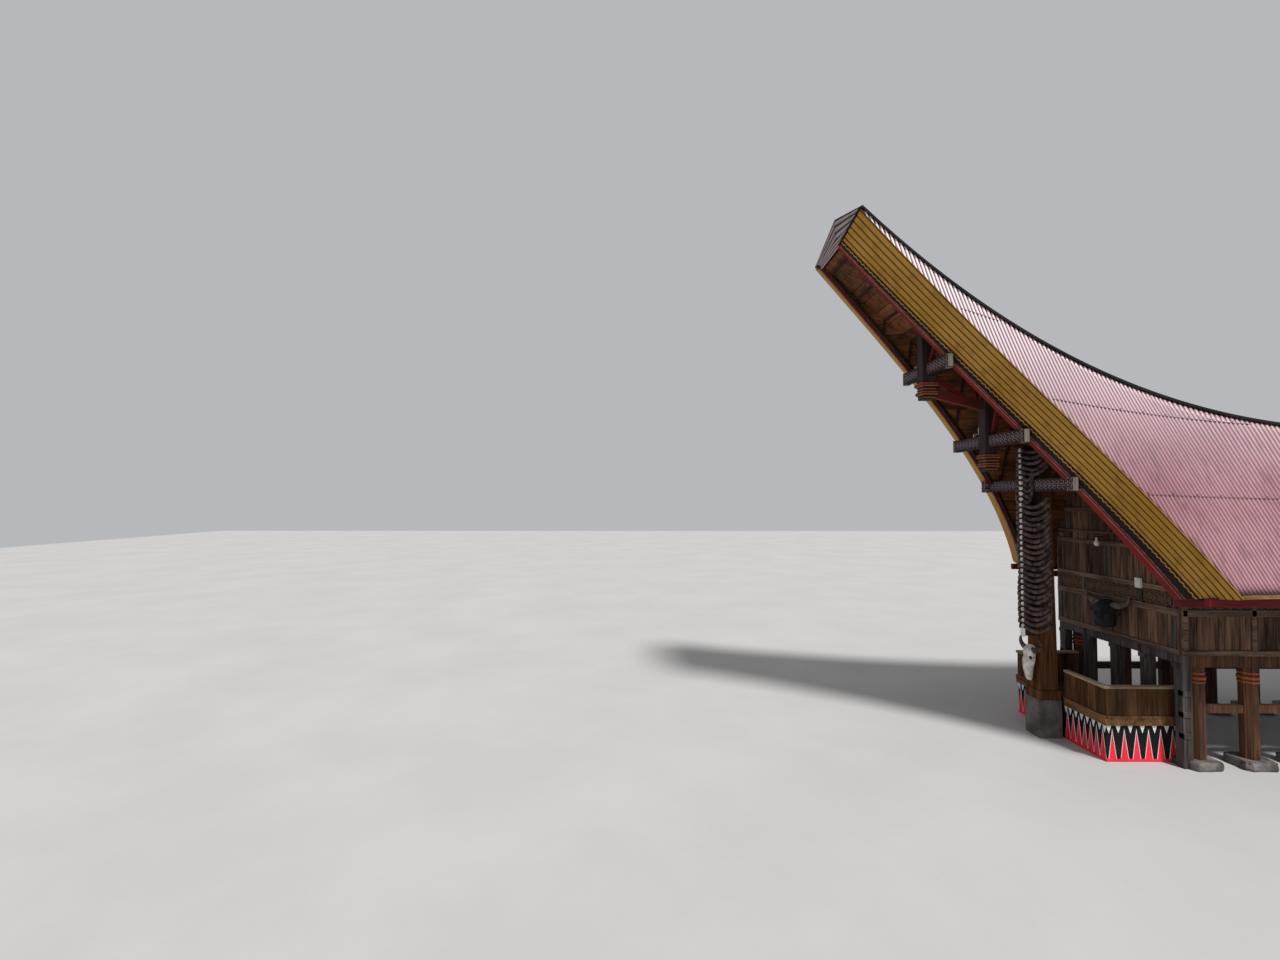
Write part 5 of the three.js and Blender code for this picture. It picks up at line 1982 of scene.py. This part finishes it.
@dataclass
class HouseBody:
    """The boarded walls, the floor, the posts at both ends and the pillars along the sides."""

    half_width: float = 1.67
    half_length: float = 3.93
    plank_width: float = 0.24
    plank_layer: float = 0.022
    plank_jitter: float = 0.5
    plank_seed: int = 8
    plank_gap: float = 0.008
    wall_inset: float = 0.03
    head_step: float = 0.02
    head_slack: float = 0.001
    shortest_plank: float = 0.05
    rails: Pairs = (
        (2.17, 0.10), (2.92, 0.13), (3.34, 0.10), (4.11, 0.10), (4.34, 0.05), (4.83, 0.10), (5.45, 0.09),
    )
    carved_rail: float = 2.92
    wall_head: Pair = (6.5, 0.0)
    rail_lap: float = 0.01
    rail_layer: float = 0.05
    stiles: Triples = (
        (0.0, 3.39, 4.06), (-1.56, 2.22, 4.06), (1.56, 2.22, 3.9), (-0.8, 2.97, 3.29), (0.8, 2.97, 3.29),
        (0.0, 4.36, 4.78), (0.0, 2.22, 2.86),
    )
    stile_half: float = 0.045
    stile_layer: float = 0.042
    side_rails: Pairs = ((2.17, 0.10), (2.92, 0.12), (3.34, 0.10))
    side_top: float = 4.18
    side_plank_count: int = 30
    side_plank_rows: Pairs = ((2.21, 2.87), (3.38, side_top))
    side_margin: float = 0.02
    side_panel_gap: float = 0.004
    side_stiles: int = 6
    side_stile_inset: float = 0.05
    side_stile_foot: float = 2.2
    side_panel: Pair = (3.13, 0.33)
    pillar_x: float = 1.50
    pillar_y: float = 3.55
    pillar_width: float = 0.29
    pillars: int = 8
    bands: Triples = (
        (1.60, 0.035, 0.012), (1.68, 0.05, 0.02), (1.77, 0.035, 0.012),
    )
    stone: float = 0.52
    stone_rows: Pairs = ((0.001, 1.06), (0.05, 1.1), (0.11, 1.08), (0.156, 1.0))
    stone_square: float = 1.32
    stone_sides: int = 20
    stone_lumps: Pair = (1.01, 0.09)
    post_step: float = 0.7821
    post_width: float = 0.18
    sill: tuple[float, float, float] = (1.86, 1.95, 0.02)
    wedge: tuple[float, float, float] = (0.03, 0.14, 0.11)
    wedge_heights: tuple[float, ...] = (0.55, 0.95, 1.35)
    bulb: Pairs = (
        (4.04, 0.02), (4.06, 0.042), (4.10, 0.055), (4.14, 0.042), (4.18, 0.022), (4.23, 0.02),
    )
    bulb_x: float = -0.18
    bulb_proud: float = 0.12
    bulb_sides: int = 12
    box_corners: Pairs = ((0.73, 3.27), (0.87, 3.47))
    box_depths: Pair = (0.045, 0.002)
    bracket: Pair = (0.03, 0.02)
    bracket_level: float = 4.24
    bracket_depths: Pair = (0.14, 0.02)

    def build(self) -> None:
        """Dresses the body and adds its planks, rails, panels and fittings."""
        for end in End:
            wear(f"{end.word}_wall", Finishes.wall)
            wear(f"post_row_{end.word}", Finishes.grey_post)
            self.gable_planks(end)
            self.gable_rails(end)
            self.post_blocks(end)
        for side in Side:
            wear(f"side_wall_{side.word}", Finishes.side_wall)
            wear(f"pillar_row_{side.word}", Finishes.pillar)
            self.side_planks(side)
            self.side_rail_boards(side)
            self.pillar_rings(side)
            self.stones(side)
        wear("floor", Finishes.floor)
        self.fittings()

    def half_at(self, z: float) -> float:
        """Half the width of the gable wall at a height, under the linings."""
        foot_x, foot_z = ROOF.lining_foot(self.half_length)
        slant = (foot_x - ROOF.cap_half) / (ROOF.lining_z(self.half_length) - foot_z)
        return min(self.half_width, foot_x - slant * (z - foot_z)) - self.wall_inset

    def gable_planks(self, end: End) -> None:
        """Upright planks between the rails of a gable wall, carved in the row of panels."""
        plain = Planks(f"gable_planks_{end.word}", "wall_boards", Finishes.wall)
        carved = Planks(f"gable_panels_{end.word}", "wall_boards", Finishes.panel)
        y = end.y(self.half_length + self.plank_layer / 2)
        for (low, low_height), (high, high_height) in zip(self.rails, (*self.rails[1:], self.wall_head)):
            bottom, top = low + low_height / 2 - self.rail_lap, high - high_height / 2 + self.rail_lap
            row = carved if low == self.carved_rail else plain
            half = self.half_at(bottom)
            edges = steps(-half, half, max(2, round(2 * half / self.plank_width)))
            for a, b in zip(edges, edges[1:]):
                head = top
                while head > bottom and self.half_at(head) < max(abs(a), abs(b)) - self.head_slack:
                    head -= self.head_step
                if head - bottom > self.shortest_plank:
                    row.plank(((a + b) / 2, y, (bottom + head) / 2), b - a - self.plank_gap, head - bottom)
        for row in (plain, carved):
            row.nailed(self.plank_layer, self.plank_jitter, self.plank_seed)

    def gable_rails(self, end: End) -> None:
        """The rails and stiles over the planks of a gable wall."""
        builder = Builder(f"gable_rails_{end.word}", "wall_boards", Finishes.rail)
        face, out = end.y(self.half_length), end.y(self.half_length + self.rail_layer)
        for z, height in self.rails:
            half = self.half_at(z + height / 2)
            builder.box((-half, face, z - height / 2), (half, out, z + height / 2))
        builder.solid(bevel=0.005)
        builder = Builder(f"gable_stiles_{end.word}", "wall_boards", Finishes.grey_post)
        out = end.y(self.half_length + self.stile_layer)
        for x, low, high in self.stiles:
            builder.box((x - self.stile_half, face, low), (x + self.stile_half, out, high))
        builder.solid(bevel=0.004)

    def side_planks(self, side: Side) -> None:
        """Upright planks along a side wall, with a row of panels."""
        plain = Planks(f"side_planks_{side.word}", "wall_boards", Finishes.side_wall)
        carved = Planks(f"side_panels_{side.word}", "wall_boards", Finishes.side_panel)
        x, half = side.x(self.half_width + self.plank_layer / 2), self.half_length - self.side_margin
        level, tall = self.side_panel
        edges = steps(-half, half, self.side_plank_count)
        for a, b in zip(edges, edges[1:]):
            y = (a + b) / 2
            for low, high in self.side_plank_rows:
                plain.plank((x, y, (low + high) / 2), b - a - self.plank_gap, high - low, math.pi / 2)
            carved.plank((x, y, level), b - a - self.side_panel_gap, tall, math.pi / 2)
        for row in (plain, carved):
            row.nailed(self.plank_layer, self.plank_jitter, self.plank_seed)

    def side_rail_boards(self, side: Side) -> None:
        """The rails and stiles of a side wall."""
        builder = Builder(f"side_rails_{side.word}", "wall_boards", Finishes.side_rail)
        face, out, half = side.x(self.half_width), side.x(self.half_width + self.rail_layer), self.half_length
        for z, height in self.side_rails:
            builder.box((face, -half, z - height / 2), (out, half, z + height / 2))
        inset, foot = self.side_stile_inset, self.side_stile_foot
        for y in steps(-half + inset, half - inset, self.side_stiles):
            builder.box((face, y - self.stile_half, foot), (out, y + self.stile_half, self.side_top))
        builder.solid(bevel=0.005)

    def post_blocks(self, end: End) -> None:
        """The wedges and sills fixed to the end posts."""
        builder = Builder(f"post_wedges_{end.word}", "frame_timber", Finishes.grey_post)
        y, half = end.y(self.half_length), self.post_width / 2
        low, high, more = self.sill
        proud, deep, tall = self.wedge
        for number in range(-2, 3):
            x = number * self.post_step
            builder.box((x - half - more, y, low), (x + half + more, y + end.y(more), high))
            if abs(number) == 2:
                out = x + math.copysign(half + proud, x)
                for z in self.wedge_heights:
                    builder.box((x, y, z), (out, y - end.y(deep), z + tall))
        builder.solid(bevel=0.006)

    def pillar_places(self, side: Side) -> list[Pair]:
        """X and Y of a row's pillars."""
        return [(side.x(self.pillar_x), y) for y in steps(-self.pillar_y, self.pillar_y, self.pillars - 1)]

    def pillar_rings(self, side: Side) -> None:
        """Turned bands near the tops of the pillars."""
        builder = Builder(f"pillar_rings_{side.word}", "pillar_timber", Finishes.corbel)
        for place in self.pillar_places(side):
            for z, height, more in self.bands:
                radius = self.pillar_width / 2 / math.cos(math.pi / 8) + more
                ends = (z - height / 2, z + height / 2)
                builder.rings([level_circle((*place, level), radius, 8, 0.5) for level in ends])
        builder.solid(bevel=0.004)

    def stones(self, side: Side) -> None:
        """Rough flat stones round the pillars' feet."""
        builder = Builder(f"foot_stones_{side.word}", "pillar_timber", Finishes.stone)
        rough = random.Random(21 + side.value)
        least, more = self.stone_lumps
        for x, y in self.pillar_places(side):
            lumps = [least + more * rough.random() for _ in range(self.stone_sides)]
            rings = []
            for z, share in self.stone_rows:
                ring = []
                for turn, lump in zip(level_circle((0, 0, 0), 1.0, self.stone_sides), lumps):
                    square = min(1 / max(abs(turn.x), abs(turn.y)), self.stone_square)
                    ring.append(Vector((x, y, z)) + turn * (self.stone / 2 * share * lump * square))
                rings.append(ring)
            builder.rings(rings)
        builder.solid(bevel=0.008)

    def fittings(self) -> None:
        """The small white box and the bulb on the front wall, with its bracket."""
        builder = Builder("wall_fittings", "wall_boards", Finishes.enamel)
        x, face = self.bulb_x, -self.half_length - self.rail_layer
        (left, low), (right, high) = self.box_corners
        proud, sunk = self.box_depths
        builder.box((left, face - proud, low), (right, face + sunk, high))
        y = face - self.bulb_proud
        builder.rings([level_circle((x, y, z), radius, self.bulb_sides) for z, radius in self.bulb])
        builder.solid(bevel=0.003)
        builder = Builder("bulb_bracket", "wall_boards", Finishes.flashing)
        proud, sunk = self.bracket_depths
        level = self.bracket_level
        builder.bar((x, face - proud, level), (x, face + sunk, level), *self.bracket)
        builder.solid()


@dataclass(frozen=True)
class Triangles:
    """A painted row of triangles on the veranda's base, standing or hanging."""

    name: str
    finish: Finish
    width: float
    height: float
    depth: float
    level: float
    hanging: bool = False


@dataclass
class Veranda:
    """The painted base, the floor and the plank railings before the front wall."""

    half_width: float = 1.36
    front: float = -5.15
    back: float = -3.752
    gap: float = 0.245
    gap_margin: float = 0.02
    rail_top: float = 1.45
    cap_size: Pair = (0.11, 0.052)
    cap_sunk: float = 0.021
    cap_inset: float = 0.02
    cap_out: float = 0.033
    skirt: Pair = (0.70, 0.87)
    skirt_proud: float = 0.036
    skirt_back: float = 0.01
    skirt_edge: float = 0.012
    skirt_moulding: float = 0.03
    plank_step: float = 0.21
    plank_layer: float = 0.016
    plank_jitter: float = 0.35
    plank_seed: int = 15
    plank_gap: float = 0.007
    plank_laps: Pair = (0.02, 0.05)
    plank_faces: tuple[tuple[int, float, float, float], ...] = (
        (-1, 0.0, -0.002, 0.0), (1, 0.045, 0.045, 0.05),
    )
    front_triangles: int = 7
    side_triangles: int = 6
    triangle_foot: float = 0.055
    triangle_top: float = 0.635
    outline: float = 0.010
    outline_lift: float = 0.2
    paint_depths: tuple[float, float, float] = (0.003, 0.006, 0.004)
    small_height: float = 0.15
    small_width: float = 0.10
    small_above: float = 0.06
    small_first: float = 0.22
    strip: Pair = (0.014, 0.054)
    strip_level: float = 0.028
    strip_proud: float = 0.003

    def build(self) -> None:
        """Dresses the veranda and adds its paint, planks and rails."""
        wear("veranda_base", Finishes.base_black)
        wear("veranda_floor", Finishes.floor)
        for side in Side:
            wear(f"railing_{side.word}", Finishes.plank)
            self.planks(side)
            self.cap_rails(side)
            self.skirt_boards(side)
        for row in self.rows():
            self.triangles(row)
        self.foot_strip()

    def runs(self) -> list[tuple[Vector, Vector, float, int]]:
        """Each painted face: its start, its end, its turn and its number of triangles."""
        found = []
        for side in Side:
            corner = Vector((side.x(self.half_width), self.front, 0.0))
            inner = Vector((side.x(self.gap - self.gap_margin), self.front, 0.0))
            rear = Vector((side.x(self.half_width), self.back, 0.0))
            found.append((inner, corner, math.pi / 2, self.front_triangles))
            found.append((corner, rear, math.pi if side is Side.RIGHT else 0.0, self.side_triangles))
        return found

    def rows(self) -> tuple[Triangles, ...]:
        """Tall red triangles edged in white, and small white ones that hang between their tips."""
        tall = self.triangle_top - self.triangle_foot
        wide = (self.half_width - self.gap + self.gap_margin) / self.front_triangles
        inner = tall - self.outline * (math.hypot(tall, wide / 2) + wide / 2) / (wide / 2)
        foot, lifted = self.triangle_foot, self.triangle_foot + self.outline * self.outline_lift
        small, level = (self.small_width, self.small_height), self.triangle_top + self.small_above
        white, red, hung = self.paint_depths
        return (
            Triangles("white_triangles", Finishes.base_white, wide, tall, white, foot),
            Triangles("red_triangles", Finishes.base_red, wide * inner / tall, inner, red, lifted),
            Triangles("hanging_triangles", Finishes.base_white, *small, hung, level, hanging=True),
        )

    def triangles(self, row: Triangles) -> None:
        """One painted row, round all the faces of the base."""
        builder = Builder(row.name, "painted_base", row.finish)
        middle = row.level + row.height / (-3 if row.hanging else 3)
        first = self.small_first
        turns = []
        for start, stop, turn, count in self.runs():
            standing = [i + 0.5 for i in range(count)]
            for place in [first, *range(1, count), count - first] if row.hanging else standing:
                point = start.lerp(stop, place / count)
                builder.guide([(point.x, point.y, middle)])
                turns.append(turn)
        sizes = {"Width": row.width, "Height": row.height, "Depth": row.depth}
        tilt = math.pi if row.hanging else 0.0
        builder.settle(builder.grown("pennants", {"turn": turns}, **sizes, Tilt=tilt))

    def foot_strip(self) -> None:
        """The red strip along the foot of the base."""
        builder = Builder("red_foot_strip", "painted_base", Finishes.base_red)
        for start, stop, _, _ in self.runs():
            flank = math.copysign(self.strip_proud, start.x + stop.x)
            out = (0.0, -self.strip_proud) if start.y == stop.y else (flank, 0.0)
            lift = Vector((*out, self.strip_level))
            builder.bar(start + lift, stop + lift, *self.strip)
        builder.solid(bevel=0.002)

    def planks(self, side: Side) -> None:
        """The upright planks of a railing, outside and inside."""
        row = Planks(f"railing_planks_{side.word}", "railing_boards", Finishes.plank)
        under, over = self.plank_laps
        low, high = self.skirt[1] - under, self.rail_top - over
        middle, tall = (low + high) / 2, high - low
        front_count = round((self.half_width - self.gap) / self.plank_step)
        side_count = round((self.back - self.front) / self.plank_step)
        for face, inset, back, corner in self.plank_faces:
            half = face * self.plank_layer / 2
            edges = steps(self.gap, self.half_width - corner, front_count)
            for a, b in zip(edges, edges[1:]):
                row.plank((side.x(a + b) / 2, self.front + back + half, middle), b - a - self.plank_gap, tall)
            x = side.x(self.half_width - inset - half)
            edges = steps(self.front + corner, self.back, side_count)
            for a, b in zip(edges, edges[1:]):
                row.plank((x, (a + b) / 2, middle), b - a - self.plank_gap, tall, math.pi / 2)
        row.nailed(self.plank_layer, self.plank_jitter, self.plank_seed)

    def cap_rails(self, side: Side) -> None:
        """The pale cap rails of a railing."""
        y, z = self.front + self.cap_inset, self.rail_top - self.cap_sunk
        x, out = side.x(self.half_width - self.cap_inset), side.x(self.half_width + self.cap_out)
        builder = Builder(f"cap_rail_front_{side.word}", "railing_boards", Finishes.cap_rail)
        builder.bar((side.x(self.gap), y, z), (out, y, z), *self.cap_size)
        builder.solid(bevel=0.006)
        builder = Builder(f"cap_rail_side_{side.word}", "railing_boards", Finishes.cap_rail_side)
        builder.bar((x, y + self.cap_size[0] / 2, z), (x, self.back, z), *self.cap_size)
        builder.solid(bevel=0.006)

    def skirt_boards(self, side: Side) -> None:
        """The skirt of a railing, with a moulding along its upper edge."""
        builder = Builder(f"railing_skirt_{side.word}", "railing_boards", Finishes.skirt)
        low, high = self.skirt
        front, inner = self.front + self.skirt_back, side.x(self.half_width - self.skirt_back)
        gap, edge = side.x(self.gap), self.half_width + self.skirt_proud
        more, y = self.skirt_edge, self.front - self.skirt_proud
        under = high - self.skirt_moulding
        builder.box((gap, y, low), (side.x(edge), front, high))
        builder.box((gap, y - more, under), (side.x(edge), front, high + more))
        builder.box((inner, front, low), (side.x(edge), self.back, high))
        builder.box((inner, front, under), (side.x(edge + more), self.back, high + more))
        builder.solid(bevel=0.005)


@dataclass
class Studio:
    """The pale floor, the soft light and the camera."""

    place: tuple[float, float, float] = (13.2, -14.08, 5.10)
    forward: tuple[float, float, float] = (-0.99952, -0.00833, 0.02999)
    focal: float = 600.0
    sensor: float = 36.0
    farthest: float = 300.0
    floor_size: float = 160.0
    sun: float = 4.2
    sun_angle: float = 0.15
    sun_from: tuple[float, float, float] = (0.50, 0.28, 0.82)
    sky: float = 0.5
    sky_colour: Colour = (0.94, 0.96, 1.0)

    def build(self) -> None:
        """Builds the whole studio."""
        self.floor()
        self.light()
        self.camera()

    def floor(self) -> None:
        """A wide pale floor under the house."""
        half = self.floor_size / 2
        corners = [(-half, -half, 0), (half, -half, 0), (half, half, 0), (-half, half, 0)]
        mesh = bpy.data.meshes.new("studio_floor")
        mesh.from_pydata(corners, [], [(0, 1, 2, 3)])
        mesh.materials.append(Finishes.studio.material())
        floor = bpy.data.objects.new("studio_floor", mesh)
        bpy.context.scene.collection.objects.link(floor)

    def light(self) -> None:
        """A broad key light from the camera's side, and an even pale sky."""
        lamp = bpy.data.lights.new("key_light", "SUN")
        lamp.energy = self.sun
        lamp.angle = self.sun_angle
        key = bpy.data.objects.new("key_light", lamp)
        key.rotation_euler = Vector(self.sun_from).to_track_quat("Z", "Y").to_euler()
        bpy.context.scene.collection.objects.link(key)
        world = bpy.data.worlds.new("studio_sky")
        world.use_nodes = True
        sky = world.node_tree.nodes["Background"]
        sky.inputs["Color"].default_value = (*self.sky_colour, 1.0)
        sky.inputs["Strength"].default_value = self.sky
        bpy.context.scene.world = world
        bpy.context.scene.view_settings.view_transform = "Standard"

    def camera(self) -> None:
        """The camera at the photograph's place."""
        data = bpy.data.cameras.new("camera")
        data.sensor_width = self.sensor
        data.lens = self.focal / PHOTO_WIDTH * self.sensor
        data.clip_end = self.farthest
        camera = bpy.data.objects.new("camera", data)
        camera.location = self.place
        camera.rotation_euler = Vector(self.forward).to_track_quat("-Z", "Y").to_euler()
        bpy.context.scene.collection.objects.link(camera)
        bpy.context.scene.camera = camera


def main() -> None:
    """Builds the house's pieces in order."""
    logging.basicConfig(level=logging.INFO, format="%(message)s")
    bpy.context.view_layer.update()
    for part in (Studio, Roof, Verges, Ceilings, OverhangFrame, HornTrophies, HouseBody, Veranda):
        part().build()


if __name__ == "__main__":
    main()
